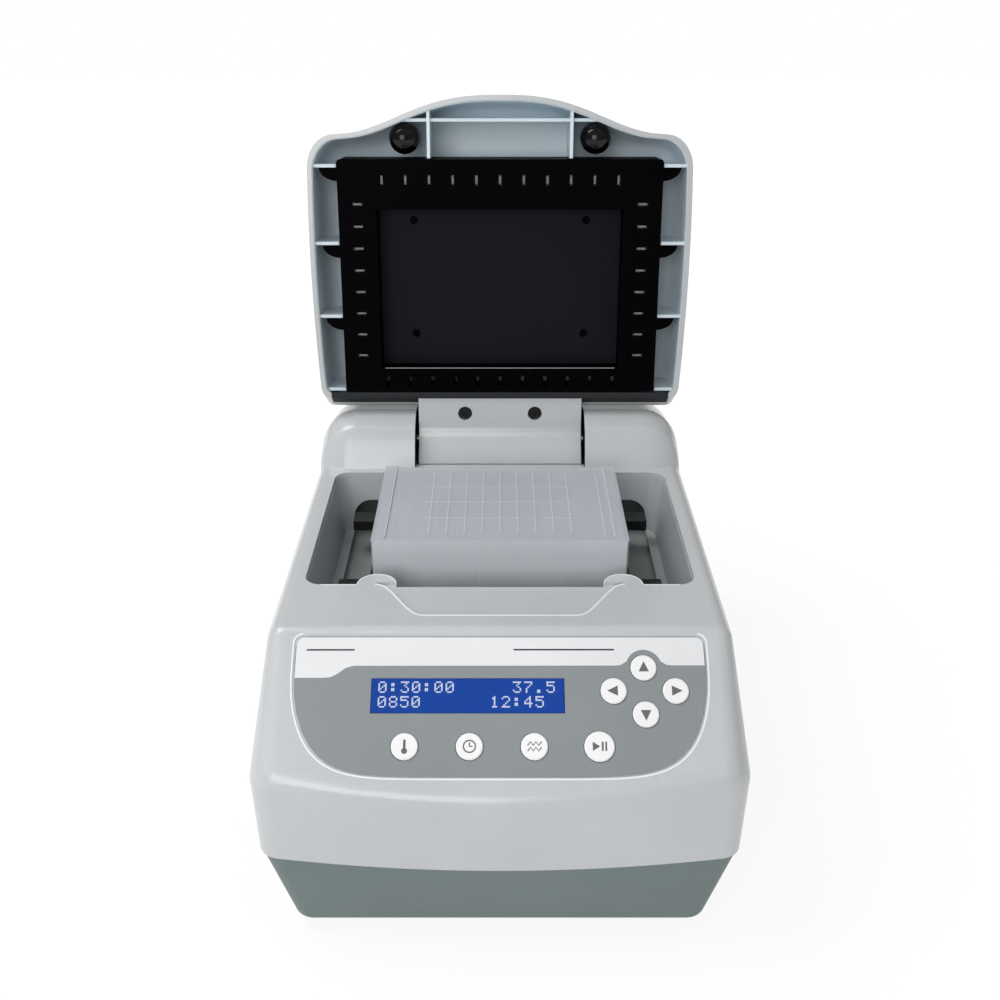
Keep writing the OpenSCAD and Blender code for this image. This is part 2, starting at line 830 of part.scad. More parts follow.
hub_low = motor_top + 1;
pin_top = platform_z - platform_t - 1;
hub_top = pin_top - bearing_h - 1;

module crank_shaft() {
  color([0.78, 0.79, 0.8])
    union() {
      translate([crank_x, block_y, chassis_z + 5])
        cylinder(r = shaft_r, h = hub_low - chassis_z - 4.5, $fn = 48);
      translate([crank_x, block_y, hub_low])
        cylinder(r = 9, h = hub_top - hub_low, $fn = 48);
      translate([0, block_y, hub_top - 0.5])
        cylinder(r = crank_pin_r, h = pin_top - hub_top + 0.5, $fn = 48);
    }
}

module counterweight() {
  color([0.6, 0.52, 0.32])
    translate([crank_x, block_y, hub_low + 1])
      difference() {
        union() {
          difference() {
            cylinder(r = weight_r, h = 7, $fn = 72);
            translate([0, -weight_r - 1, -1])
              cube([weight_r + 1, 2 * weight_r + 2, 10]);
          }
          cylinder(r = 14, h = 7, $fn = 48);
        }
        translate([0, 0, -1])
          cylinder(r = 9 + 0.02, h = 10, $fn = 48);
      }
}

module idler_crank(place) {
  color([0.78, 0.79, 0.8])
    union() {
      translate([place[0], place[1], chassis_z + 9])
        cylinder(r = idler_r, h = post_top - chassis_z - 8.5, $fn = 48);
      translate([place[0], place[1], post_top + 0.3])
        cylinder(r = post_r + 1, h = 4, $fn = 48);
      translate([place[0] + orbit_r, place[1], post_top + 4])
        cylinder(r = idler_r, h = platform_z - platform_t - post_top - 5, $fn = 48);
    }
}

module idler_crank_1() { idler_crank(idler_places[0]); }
module idler_crank_2() { idler_crank(idler_places[1]); }
module idler_crank_3() { idler_crank(idler_places[2]); }
module idler_crank_4() { idler_crank(idler_places[3]); }

under_platform = platform_z - platform_t;

module shaker_platform() {
  color([0.50, 0.55, 0.53])
    difference() {
      union() {
        rounded_plate([-platform_w / 2, block_y - platform_d / 2, under_platform],
                      [platform_w / 2, block_y + platform_d / 2 - 4, platform_z], 8);
        translate([0, block_y, hub_top + 0.8])
          cylinder(r = bearing_r + 3.5, h = under_platform - hub_top, $fn = 64);
        for (p = idler_places)
          translate([p[0] + orbit_r, p[1], post_top + 5])
            cylinder(r = post_r, h = under_platform - post_top - 4.5, $fn = 48);
      }
      translate([0, block_y, hub_top + 0.5])
        cylinder(r = bearing_r + 0.02, h = bearing_h + 0.6, $fn = 64);
      for (p = idler_places)
        translate([p[0] + orbit_r, p[1], post_top + 4])
          cylinder(r = idler_r + run_gap, h = under_platform - post_top - 4, $fn = 48);
    }
}

module main_bearing() {
  color([0.8, 0.81, 0.82])
    translate([0, block_y, hub_top + 1])
      difference() {
        cylinder(r = bearing_r, h = bearing_h, $fn = 64);
        translate([0, 0, -1])
          cylinder(r = crank_pin_r + run_gap, h = bearing_h + 2, $fn = 48);
        for (z = [-1, bearing_h - 1])
          translate([0, 0, z])
            difference() {
              cylinder(r = bearing_r - 2.5, h = 2, $fn = 48);
              translate([0, 0, -1])
                cylinder(r = crank_pin_r + 2, h = 4, $fn = 48);
            }
      }
}

half_w = rack_w / 2;
half_d = rack_d / 2;

module insulation_pad() {
  color([0.12, 0.12, 0.13])
    box([-half_w + 1, block_y - half_d + 1, platform_z + 0.02],
        [half_w - 1, block_y + half_d - 1, block_top_z - block_t - 0.02]);
}

module heater_block() {
  color([0.75, 0.76, 0.78])
    difference() {
      rounded_plate([-half_w, block_y - half_d, block_top_z - block_t],
                    [half_w, block_y + half_d, block_top_z], 3);
      // Relief grooves under the plate that stands on the block.
      for (x = [-50 : 20 : 50])
        box([x - 1, block_y - half_d - 1, block_top_z - 0.8], [x + 1, block_y + half_d + 1, block_top_z + 1]);
    }
}

cradle_in_x = half_w + rack_gap;
cradle_in_y = half_d + rack_gap;

module block_cradle() {
  color(soft_black)
    union() {
      difference() {
        rounded_plate([-cradle_in_x - cradle_t, block_y - cradle_in_y - cradle_t, platform_z + 0.02],
                      [cradle_in_x + cradle_t, block_y + cradle_in_y + cradle_t, cradle_top_z], 4);
        rounded_plate([-cradle_in_x, block_y - cradle_in_y, platform_z - 1],
                      [cradle_in_x, block_y + cradle_in_y, cradle_top_z + 1], 2);
      }
      for (side = sides, end = sides)
        box([min(side * cradle_in_x, side * ear_reach) + (side > 0 ? cradle_t / 2 : 0),
             block_y + end * ear_y - ear_w / 2, cradle_top_z - ear_t],
            [max(side * cradle_in_x, side * ear_reach) - (side < 0 ? cradle_t / 2 : 0),
             block_y + end * ear_y + ear_w / 2, cradle_top_z]);
    }
}

clip_x = cradle_in_x + cradle_t;

module plate_clip() {
  color(soft_black)
    box([clip_x + 0.02, block_y + 3, platform_z + 0.02], [clip_x + 1.6, block_y + ear_y - ear_w / 2 - 1, deck_z - 8]);
}

module rack_cover() {
  color([0.66, 0.68, 0.71, 0.75])
    difference() {
      union() {
        rounded_plate([-half_w, block_y - half_d, rack_bottom_z], [half_w, block_y + half_d, rack_top_z], rack_r);
      }
      rounded_plate([-half_w + rack_wall, block_y - half_d + rack_wall, rack_bottom_z - 1],
                    [half_w - rack_wall, block_y + half_d - rack_wall, rack_top_z - rack_wall],
                    rack_r - rack_wall);
      // Shallow flutes down the long sides.
      for (x = [-54 : 18 : 54], side = sides)
        box([x - 0.4, block_y + side * half_d - 0.4, rack_bottom_z - 1],
            [x + 0.4, block_y + side * half_d + 0.4, rack_top_z - 6]);
    }
}

module rack_cells() {
  top = rack_top_z - rack_wall - 0.05;
  inner_x = half_w - rack_wall - 0.3;
  inner_y = half_d - rack_wall - 0.3;
  color([0.75, 0.77, 0.8, 0.6])
    union() {
      for (i = [-6 : 6])
        box([i * cell_pitch - cell_t / 2, block_y - 4 * cell_pitch - 0.4, top - cell_h],
            [i * cell_pitch + cell_t / 2, block_y + 4 * cell_pitch + 0.4, top]);
      for (j = [-4 : 4])
        box([-6 * cell_pitch - 0.4, block_y + j * cell_pitch - cell_t / 2, top - cell_h],
            [6 * cell_pitch + 0.4, block_y + j * cell_pitch + cell_t / 2, top]);
      // Apron that ties the cells to the cover's walls.
      difference() {
        box([-inner_x, block_y - inner_y, top - cell_h - 1.2], [inner_x, block_y + inner_y, top - cell_h + 0.1]);
        for (i = [-5.5 : 1 : 5.5], j = [-3.5 : 1 : 3.5])
          translate([i * cell_pitch, block_y + j * cell_pitch, top - cell_h - 2])
            cylinder(r = 3.2, h = 4, $fn = 16);
      }
    }
}

// One key: a cap through the panel, a collar behind it and a stem to its switch.
module key(at) {
  stem_end = -board_h + 3.1 + key_travel + 0.1;
  color([0.93, 0.93, 0.92])
    on_panel(at[0], at[1], 0)
      rotate_extrude($fn = 48)
        polygon([[0, stem_end], [1.6, stem_end], [1.6, -6], [at[2] + 1.2, -5], [at[2] + 1.2, -4],
                 [at[2], -4], [at[2], -film_pocket + film_t + key_proud - 0.4],
                 [at[2] - 0.5, -film_pocket + film_t + key_proud], [0, -film_pocket + film_t + key_proud]]);
}

module key_up() { key(key_up_at); }
module key_down() { key(key_down_at); }
module key_left() { key(key_left_at); }
module key_right() { key(key_right_at); }
module key_f1() { key(key_f1_at); }
module key_f2() { key(key_f2_at); }
module key_f3() { key(key_f3_at); }
module key_run() { key(key_run_at); }

board_low = [-base_w / 2 + 8.5, -base_reach + 21, chassis_z - 6];
board_size = [126, 52, 1.6];

module main_board() {
  color([0.08, 0.32, 0.16])
    translate(board_low)
      union() {
        cube(board_size);
        // Pillars to the tray floor.
        for (x = [6, board_size[0] - 6], y = [6, board_size[1] - 6])
          translate([x, y, foot_h + tray_floor + 0.01 - board_low[2]])
            cylinder(r = 2.5, h = board_low[2] - foot_h - tray_floor + 0.1, $fn = 24);
        // Cooler, plugs and transformer.
        box([16, 10, 1.5], [40, 34, 12]);
        box([56, 6, 1.5], [80, 18, 8]);
        box([90, 10, 1.5], [114, 38, 14]);
      }
}

module power_supply() {
  color([0.7, 0.71, 0.72])
    difference() {
      box([4, supply_front, foot_h + tray_floor + 0.02], [base_w / 2 - 10.5, supply_back, chassis_z + 18]);
      for (i = [0 : 8])
        box([10 + i * 8, supply_front - 1, chassis_z + 3], [14 + i * 8, supply_back + 1, chassis_z + 12]);
    }
}

module mains_inlet() {
  color([0.07, 0.07, 0.08])
    difference() {
      union() {
        box([inlet_x - inlet_w / 2, rear_reach - 16, inlet_z - inlet_h / 2],
            [inlet_x + inlet_w / 2, rear_reach + 1, inlet_z + inlet_h / 2]);
        rounded_plate_y([inlet_x - inlet_w / 2 - 5, inlet_z - inlet_h / 2 - 3],
                        [inlet_x + inlet_w / 2 + 5, inlet_z + inlet_h / 2 + 3], rear_reach + 0.02, 2.2, 4);
      }
      box([inlet_x - 11.5, rear_reach - 13, inlet_z - 7.5], [inlet_x + 11.5, rear_reach + 9, inlet_z + 7.5]);
    }
}

module inlet_blades() {
  color([0.8, 0.8, 0.8])
    for (p = [[-7, -1.5], [0, 2.5], [7, -1.5]])
      box([inlet_x + p[0] - 1, rear_reach - 12.99, inlet_z + p[1] - 2.4],
          [inlet_x + p[0] + 1, rear_reach - 1, inlet_z + p[1] + 2.4]);
}

// A plate on the rear wall with rounded corners, from low [x, z] to high [x, z].
module rounded_plate_y(low, high, y, t, r)
  translate([0, y + t, 0])
    rotate([90, 0, 0])
      rounded_plate([low[0], low[1], 0], [high[0], high[1], t], r);

switch_pin_r = 1;
switch_wall = 1.2;

module at_switch()
  translate([switch_x, rear_reach - 2, inlet_z])
    children();

module switch_frame() {
  half = switch_w / 2;
  high = switch_h / 2;
  color([0.07, 0.07, 0.08])
    at_switch()
      union() {
        difference() {
          union() {
            box([-half, -12, -high], [half, 2, high]);
            box([-half - 2, 2.02, -high - 2], [half + 2, 3.6, high + 2]);
            box([-half + 0.5, 1.9, -high + 0.5], [half - 0.5, 2.1, high - 0.5]);
          }
          box([-half + switch_wall, -10.5, -high + switch_wall], [half - switch_wall, 9, high - switch_wall]);
        }
        along_x(switch_pin_r, -half + 0.5, half - 0.5);
      }
}

module power_switch() {
  half = switch_w / 2 - switch_wall - 0.4;
  reach = switch_h / 2 - 2.2;
  color([0.08, 0.08, 0.08])
    at_switch()
      rotate([rocker_swing, 0, 0])
        difference() {
          rotate([90, 0, 90])
            translate([0, 0, -half])
              linear_extrude(2 * half)
                polygon([[2.6, -reach], [4.6, -reach], [2.8, 0], [4.6, reach], [2.6, reach],
                         [-3.6, 3], [-3.6, -3]]);
          along_x(switch_pin_r + run_gap, -half - 1, half + 1);
        }
}

module fan_frame() {
  depth = 10;
  color([0.1, 0.1, 0.11])
    translate([fan_x, rear_reach - wall - 0.05, fan_z])
      rotate([90, 0, 0])
        difference() {
          translate([-fan_w / 2, -fan_w / 2, 0])
            cube([fan_w, fan_w, depth]);
          difference() {
            translate([0, 0, -1])
              cylinder(r = fan_w / 2 - 2, h = depth + 2, $fn = 72);
            translate([0, 0, depth - 2])
              cylinder(r = 9, h = 2, $fn = 48);
            for (a = [0 : 90 : 270])
              rotate([0, 0, a + 45])
                translate([0, -1.2, depth - 2])
                  cube([fan_w, 2.4, 2]);
            translate([0, 0, 3])
              cylinder(r = 1.95, h = depth - 3, $fn = 32);
          }
        }
}

module fan_rotor() {
  color([0.14, 0.14, 0.15])
    translate([fan_x, rear_reach - wall - 0.05, fan_z])
      rotate([90, 0, 0])
        difference() {
          union() {
            translate([0, 0, 1])
              cylinder(r = 8, h = 6.4, $fn = 48);
            for (a = [0 : 360 / 7 : 359])
              rotate([0, 0, a])
                translate([7.4, 0, 4.2])
                  rotate([38, 0, 0])
                    translate([0, -3.6, -0.6])
                      cube([fan_w / 2 - 11, 7.2, 1.2]);
          }
          translate([0, 0, 2.6])
            cylinder(r = 2, h = 6, $fn = 32);
        }
}

bracket_t = 3;

module hinge_brackets() {
  color([0.6, 0.61, 0.63])
    for (side = sides)
      difference() {
        union() {
          x0 = side > 0 ? slot_w / 2 + wall + 0.05 : -slot_w / 2 - wall - 0.05 - bracket_t;
          box([x0, hinge_y - 9, hinge_z - 30], [x0 + bracket_t, hinge_y + 9, hinge_z + 8]);
          foot0 = side > 0 ? x0 : x0 - 16 + bracket_t;
          box([foot0, hinge_y - 9, hinge_z - 32], [foot0 + 16, hinge_y + 9, hinge_z - 29.9]);
        }
        translate([0, hinge_y, hinge_z])
          along_x(pin_r + 0.02, -slot_w, slot_w);
      }
}

pin_in = 8;

module hinge_pins() {
  inner = slot_w / 2 - knuckle_gap - pin_in;
  color([0.85, 0.86, 0.87])
    translate([0, hinge_y, hinge_z])
      for (side = sides)
        along_x(pin_r, side > 0 ? inner : -inner - pin_l, side > 0 ? inner + pin_l : -inner);
}

// The lid's rear face at one of its levels, as [y, z].
function lid_back(v) = [lid_rear_y * (1 - v[1] / 83) + v[2], rim_z + v[0] * lid_h / 37.5];

// Lowest front edge of the knuckle with the lid shut, as [y, z] from the hinge line.
lid_rear_y = well_back + 2.6;
knuckle_lip = [lid_rear_y + 0.9 - hinge_y, rim_z + 1.2 - hinge_z];
knuckle_bend = [-4.5, -7.2];

// A soft bend through three points, the middle one being the corner.
function bent(a, b, c, u) = (1 - u) * (1 - u) * a + 2 * u * (1 - u) * b + u * u * c;

// Side view of the knuckle with the lid shut, as [y, z] from the hinge line.
function knuckle_profile() = concat(
  [for (i = [3 : -1 : 1]) lid_back(lid_levels[i]) - [hinge_y - 0.06, hinge_z]],
  [knuckle_lip],
  [for (u = [0 : 0.2 : 1]) bent(knuckle_bend - [6.5, 0], knuckle_bend, knuckle_bend + [6, -3.9], u)],
  [for (a = [-58 : 12 : 86]) [knuckle_r * cos(a), knuckle_r * sin(a)]],
  [[0, 18.4], [-18.4, 17]]);

knuckle_half = slot_w / 2 - knuckle_gap;
knuckle_hole_span = 40.8;

module hinge_knuckle() {
  color(casing_grey)
    swing_open()
      translate([0, hinge_y, hinge_z])
        difference() {
          translate([-knuckle_half, 0, 0])
            rotate([90, 0, 90])
              linear_extrude(2 * knuckle_half)
                polygon(knuckle_profile());
          for (side = sides)
            along_x(pin_r + run_gap, side > 0 ? knuckle_half - pin_in - 1 : -knuckle_half - 1,
                    side > 0 ? knuckle_half + 1 : -knuckle_half + pin_in + 1);
          for (side = sides)
            translate([side * knuckle_hole_span / 2, -17, -10])
              cylinder(r = 4.1, h = 8, $fn = 48);
        }
}

module knuckle_screws() {
  color([0.05, 0.05, 0.05])
    swing_open()
      translate([0, hinge_y, hinge_z])
        for (side = sides)
          translate([side * knuckle_hole_span / 2, -17, -4.6])
            difference() {
              cylinder(r = 3.7, h = 2.5, $fn = 40);
              translate([0, 0, -1])
                cylinder(r = 1.8, h = 2.4, $fn = 6);
            }
}

// Front edge of the lid: a straight run with a wide arch in its middle.
function arch(x) = (1 + cos(180 * pow(min(1, abs(x) / arch_w), 1.4))) / 2;
function lid_front_y(x) = -lid_front + 5 * pow(x / 100, 2) - arch_h * arch(x);
function lid_half(y) = lid_w / 2 - lid_taper * pow((y + 5) / 82, 2);

// Right half of the lid's rim from rear to front, then mirrored.
lid_corner_x = 15;
lid_corner_y = -50;
lid_side = [for (y = [lid_rear_y - 5 : -21 : lid_corner_y + 1]) [lid_half(y), y]];
lid_bend_x = lid_half(lid_corner_y) - lid_corner_x;
lid_corner = [for (a = [0 : 15 : 75])
  [lid_bend_x + lid_corner_x * cos(a), lid_corner_y + (lid_front_y(lid_bend_x) - lid_corner_y) * sin(a)]];
lid_nose = [for (i = [0 : 12]) let (x = lid_bend_x * (1 - i / 13)) [x, lid_front_y(x)]];
lid_rear = [[lid_half(lid_rear_y) - 5, lid_rear_y], [lid_half(lid_rear_y) - 1.4, lid_rear_y - 1.4]];
lid_right = concat(lid_rear, lid_side, lid_corner, lid_nose);
lid_rim = concat(lid_right, [[0, lid_front_y(0)]],
                 [for (i = [len(lid_right) - 1 : -1 : 0]) [-lid_right[i][0], lid_right[i][1]]]);
lid_mid_y = 0;

// The rim drawn in by a distance, and with its rear part moved by a second distance.
function rim_at(inset, rear) = [for (p = lid_rim)
  let (kx = 1 - inset / (lid_w / 2), ky = 1 - inset / 83, back = max(0, p[1]) / lid_rear_y)
  [p[0] * kx, p[1] * ky + rear * pow(back, 3)]];

// A closed body through rings of equal length, each given as [height, points].
module loft(rings) {
  n = len(rings[0][1]);
  m = len(rings);
  points = [for (ring = rings, p = ring[1]) [p[0], p[1], ring[0]]];
  walls = [for (j = [0 : m - 2], i = [0 : n - 1])
    [j * n + i, j * n + (i + 1) % n, (j + 1) * n + (i + 1) % n, (j + 1) * n + i]];
  bottom = [[for (i = [n - 1 : -1 : 0]) i]];
  top = [[for (i = [0 : n - 1]) (m - 1) * n + i]];
  polyhedron(points = points, faces = concat(bottom, walls, top), convexity = 6);
}

lid_levels = [[0, 0, 0], [6, 0.15, 4.1], [12.4, 0.5, 8.3], [20, 1.2, 8.6], [27, 2.6, 8],
              [32, 5.5, 6.6], [35.4, 11, 4], [37, 22, 0], [37.5, 40, 0]];

module lid_form(inset = 0, low = 0)
  loft([for (v = lid_levels)
    let (z = v[0] * lid_h / 37.5)
    [rim_z + (v[0] == 0 ? -low : z * (lid_h - inset) / lid_h), rim_at(v[1] + inset, v[2])]]);

function rib_top() = rim_z + 1;
cross_rib_y = -ball_front - ball_r - rib_t / 2 - 0.2;

module lid_ribs() {
  intersection() {
    lid_form(0.6);
    union() {
      for (side = sides)
        box([side * 38.8 - rib_t / 2, -100, rib_top()], [side * 38.8 + rib_t / 2, -frame_front - 0.4, lid_top_z]);
      box([-62, cross_rib_y - rib_t / 2, rib_top() + 3], [62, cross_rib_y + rib_t / 2, lid_top_z]);
      for (side = sides, y = [-52, -10.3, 30.5, lid_rear_y - 4.4])
        box([side > 0 ? frame_w / 2 + 0.4 : -120, y - rib_t / 2, rib_top() + 1],
            [side > 0 ? 120 : -frame_w / 2 - 0.4, y + rib_t / 2, lid_top_z]);
      for (side = sides)
        translate([side * ball_span / 2, -ball_front, ball_z + ball_r + 0.1])
          cylinder(r = stem_r + 2.4, h = lid_h, $fn = 40);
    }
  }
}

module lid_shell() {
  color(casing_grey)
    swing_open()
      difference() {
        union() {
          difference() {
            lid_form();
            lid_form(lid_wall, 1);
          }
          lid_ribs();
        }
        for (side = sides)
          translate([side * ball_span / 2, -ball_front, rim_z - 1])
            cylinder(r = stem_r + 0.02, h = stem_rise + 1, $fn = 40);
      }
}

ball_z = deck_z + 0.4 + ball_r;
stem_rise = lid_h - 14;

module bumper(side) {
  color([0.03, 0.03, 0.03])
    swing_open()
      translate([side * ball_span / 2, -ball_front, ball_z])
        union() {
          sphere(r = ball_r, $fn = 48);
          cylinder(r = stem_r, h = rim_z + stem_rise - 0.3 - ball_z, $fn = 40);
        }
}

module bumper_left() { bumper(-1); }
module bumper_right() { bumper(1); }

window_x = half_w + window_gap_x;
window_y = half_d + window_gap_y;
frame_top = rim_z + frame_h;

module frame_slots() {
  for (i = [-5 : 5])
    box([i * slot_pitch - slot_t / 2, -frame_front + 8, rim_z - 1],
        [i * slot_pitch + slot_t / 2, -frame_front + 8 + slot_l, rim_z + frame_t + 1]);
  for (i = [-5 : 5])
    box([i * slot_pitch - slot_t / 2, frame_back - 3.4 - slot_l, rim_z - 1],
        [i * slot_pitch + slot_t / 2, frame_back - 3.4, rim_z + frame_t + 1]);
  for (i = [-3.5 : 1 : 3.5], side = sides)
    box([side * (frame_w / 2 - 10.5) - slot_l / 2, block_y - 5 + i * slot_pitch * 0.93 - slot_t / 2, rim_z - 1],
        [side * (frame_w / 2 - 10.5) + slot_l / 2, block_y - 5 + i * slot_pitch * 0.93 + slot_t / 2,
         rim_z + frame_t + 1]);
}

module hot_lid_frame() {
  color([0.04, 0.04, 0.045])
    swing_open()
      difference() {
        union() {
          difference() {
            rounded_plate([-frame_w / 2, -frame_front, rim_z], [frame_w / 2, frame_back, frame_top], 2);
            rounded_plate([-frame_w / 2 + frame_t, -frame_front + frame_t, rim_z + frame_t],
                          [frame_w / 2 - frame_t, frame_back - frame_t, frame_top + 1], 1);
          }
          box([-window_x - frame_t, block_y - window_y - frame_t, rim_z + 0.1],
              [window_x + frame_t, block_y + window_y + frame_t, rim_z + plate_depth - 0.05]);
        }
        box([-window_x, block_y - window_y, rim_z - 1], [window_x, block_y + window_y, frame_top + 1]);
        frame_slots();
      }
}

module hot_plate() {
  color([0.14, 0.14, 0.16])
    swing_open()
      difference() {
        rounded_plate([-window_x - frame_t, block_y - window_y - frame_t, rim_z + plate_depth],
                      [window_x + frame_t, block_y + window_y + frame_t, rim_z + plate_depth + plate_t], 2);
        for (p = plate_screw_places)
          translate([p[0], p[1], rim_z + plate_depth - 1])
            cylinder(r = 2.3, h = plate_t + 2, $fn = 32);
      }
}

plate_screw_places = [for (x = sides, y = [-37.6, 26.8]) [x * 48.6, block_y + y]];

module plate_screws() {
  color([0.03, 0.03, 0.03])
    swing_open()
      for (p = plate_screw_places)
        translate([p[0], p[1], rim_z + plate_depth + 0.4])
          cylinder(r = 2.28, h = plate_t - 0.4, $fn = 32);
}

module lid_insulation() {
  color([0.75, 0.72, 0.6])
    swing_open()
      box([-window_x - frame_t, block_y - window_y - frame_t, rim_z + plate_depth + plate_t + 0.02],
          [window_x + frame_t, frame_back - frame_t - 0.3, frame_top + 4]);
}

lower_casing();
upper_casing();
deck_bosses();
rubber_feet();
casing_screws();
well_liner();
rear_baffle();
panel_film();
display_window();
display_module();
key_board();
chassis_plate();
drive_motor();
main_board();
power_supply();
mains_inlet();
inlet_blades();
switch_frame();
power_switch();
fan_frame();
fan_rotor();
hinge_brackets();
hinge_pins();
crank_shaft();
counterweight();
idler_crank_1();
idler_crank_2();
idler_crank_3();
idler_crank_4();
shaker_platform();
main_bearing();
insulation_pad();
heater_block();
block_cradle();
plate_clip();
rack_cover();
rack_cells();
key_up();
key_down();
key_left();
key_right();
key_f1();
key_f2();
key_f3();
key_run();
lid_shell();
hot_lid_frame();
hot_plate();
plate_screws();
lid_insulation();
bumper_left();
bumper_right();
hinge_knuckle();
knuckle_screws();
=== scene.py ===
"""Looks of a laboratory thermal mixer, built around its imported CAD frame.

The frame of the CAD: X to the right, Y to the rear, Z up, bench at z = 0. Sizes and outlines are in
millimetres, which new_mesh and hull turn into metres. Lamps are placed in metres.
"""

import json
import math

import bmesh
import bpy
from mathutils import Matrix, Vector


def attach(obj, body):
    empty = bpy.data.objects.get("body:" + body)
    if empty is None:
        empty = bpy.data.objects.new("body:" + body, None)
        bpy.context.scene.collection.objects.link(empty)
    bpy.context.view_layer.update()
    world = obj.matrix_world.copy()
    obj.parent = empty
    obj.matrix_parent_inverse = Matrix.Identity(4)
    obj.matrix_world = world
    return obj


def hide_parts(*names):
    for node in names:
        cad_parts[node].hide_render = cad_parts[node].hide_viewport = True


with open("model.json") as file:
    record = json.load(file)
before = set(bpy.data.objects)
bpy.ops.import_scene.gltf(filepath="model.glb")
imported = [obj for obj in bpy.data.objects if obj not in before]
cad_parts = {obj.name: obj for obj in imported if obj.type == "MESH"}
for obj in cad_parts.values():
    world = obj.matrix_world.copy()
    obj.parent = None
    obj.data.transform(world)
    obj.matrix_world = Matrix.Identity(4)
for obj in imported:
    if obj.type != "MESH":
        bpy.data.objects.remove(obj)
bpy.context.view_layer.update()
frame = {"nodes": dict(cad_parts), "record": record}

MM = 0.001
# How far a cutting body reaches past the face that it opens.
CUT = 1.0

# Driving places of the casing. They follow the part's source, apart from the greatest width.
CASING_W = 219.0
BELT_Z = 75.0
SEAM_W = 215.0
SEAM_Z = 44.0
SEAM_GAP = 0.3
DECK_W = 212.0
DECK_Z = 128.0
FRONT_REACH = 150.4
NOSE_REACH = 148.0
BEND_REACH = 86.8
REAR_REACH = 147.0
WALL = 2.5
PANEL_SLOPE = math.radians(38.0)
HINGE_Y = 104.6
HINGE_Z = 136.6
LID_OPEN = math.radians(97.3)

# The front stands back by FRONT_BOW at BOW_HALF from the middle.
FRONT_BOW = 7.2
BOW_HALF = 97.5

# Rounding of the casing's edges. The nose's balls stand back and down by shares of their radius.
SEAM_R = 11.0
NOSE_R = 8.0
NOSE_HALF = 88.0
NOSE_BACK = 0.93
NOSE_DROP = 0.46
CORNER_R = 14.0
DECK_R = 8.0
REAR_R = 12.0

# Lower casing, which stands back by a step under the upper one, and the slots in its floor.
TRAY_STEP = 0.9
BASE_W = 189.0
BASE_REACH = 143.0
BASE_R = 10.0
BASE_REAR_IN = 14.0
FOOT_H = 8.0
SCREW_X = 84.0
SCREW_ROWS = (-48.0, 84.0)
SCREW_BOSS_R = 5.0
SCREW_BOSS_H = 17.0
SCREW_HOLE_R = 1.7
BASE_SLOTS = 6
BASE_SLOT_X = 12.0
BASE_SLOT_PITCH = 8.0
BASE_SLOT_W = 3.0
BASE_SLOT_FRONT = 100.0
BASE_SLOT_BACK = 128.0

# Well, screw bosses and finger recess.
WELL_W = 188.8
WELL_FRONT = 49.0
WELL_BACK = 75.0
WELL_R = 8.0
LEDGE_Z = 95.0
BOSS_R = 9.6
BOSS_SPAN = 118.8
BOSS_H = 12.0
RECESS_T = 1.5
RECESS_WIDE = 59.5
RECESS_NARROW = 35.0
RECESS_L = 26.852
RECESS_STEPS = 24
# Section of the recess's soft edge: height over the deck, and growth of its outline.
RECESS_EDGE = ((-RECESS_T, -1.4), (-0.8, -0.5), (-0.35, 0.0), (0.02, 0.8), (5.0, 0.9))

# Panel film, whose sides run straight down to FILM_SIDE and then curve in with FILM_POWER.
FILM_W = 183.0
FILM_L = 62.5
FILM_TOP = 4.0
FILM_SIDE = 16.0
FILM_CORNER = 4.0
FILM_POWER = 7
FILM_POCKET = 0.9
FILM_FACE = -0.28
# Section of the dish that the film lies in: height over the panel, and growth of its outline.
DISH_EDGE = ((-FILM_POCKET, 0.2), (2.0, 7.9))
KEY_GAP = 0.3
PANEL_CUT = (-8, 2)
DISPLAY_X = -14.2
DISPLAY_T = 31.2
DISPLAY_HOLE_W = 87.0
DISPLAY_HOLE_L = 17.4

# Room for the hinge's knuckle, and the hump on both sides of it.
KNUCKLE_R = 20.0
TROUGH_GAP = 1.4
LIP_REACH = 27.6
LIP_GAP = 0.3
KNUCKLE_REAR_GAP = 6.0
SLOT_W = 98.8
PIN_HOLE_R = 3.3
PIN_DEPTH = 8.0
# Dark plates that paint the shade in the slot's gaps: foot over the deck, and how far their faces stand off
# the slot's walls.
PLATE_FOOT = 0.6
PLATE_NEAR = 0.03
PLATE_FAR = 0.3
# Crest of the hump over the hinge, how far its ends round inwards and down, and its root in the casing.
SHOULDER_R = 17.8
SHOULDER_IN = 22.0
SHOULDER_FALL = 26.0
SHOULDER_ROOT = 40.0

# Openings at the rear, each (middle, width, height), and the fan's slots.
INLET_X = 66.0
INLET_Z = 66.0
SWITCH_X = 32.0
REAR_HOLES = ((INLET_X, 27.8, 20.2), (SWITCH_X, 13.4, 19.8))
REAR_CUT = 12.0
FAN_X = -52.0
VENTS = 7
VENT_PITCH = 7.0
VENT_W = 3.0
VENT_START = 23.0
VENT_DROP = 17.0
VENT_RISE = 25.0

# Lid, drawn shut. The arch is the crown in the middle of its front. Insets shrink the rim over RIM_REACH.
RIM_Z = 128.8
LID_W = 212.0
LID_H = 36.0
LID_FRONT = 72.5
LID_BOW = 5.0
LID_BOW_HALF = 100.0
LID_TAPER = 2.6
LID_WIDEST_Y = -5.0
LID_TAPER_REACH = 82.0
LID_CORNER_Y = -50.0
LID_CORNER_R = 15.0
LID_WALL = 2.6
LID_REAR_Y = 77.6
RIM_REACH = 83.0
ARCH_H = 16.1
ARCH_W = 84.0
ARCH_POWER = 1.4
# Section of the lid: height, how far the rim is drawn in, and how far the rear stands out.
LID_LEVELS = ((0, 0, 0), (6, 0.15, 4.1), (12.4, 0.5, 8.3), (20, 1.2, 8.6), (27, 2.6, 8),
              (32, 5.5, 6.6), (35.4, 11, 4), (37, 22, 0), (37.5, 40, 0))

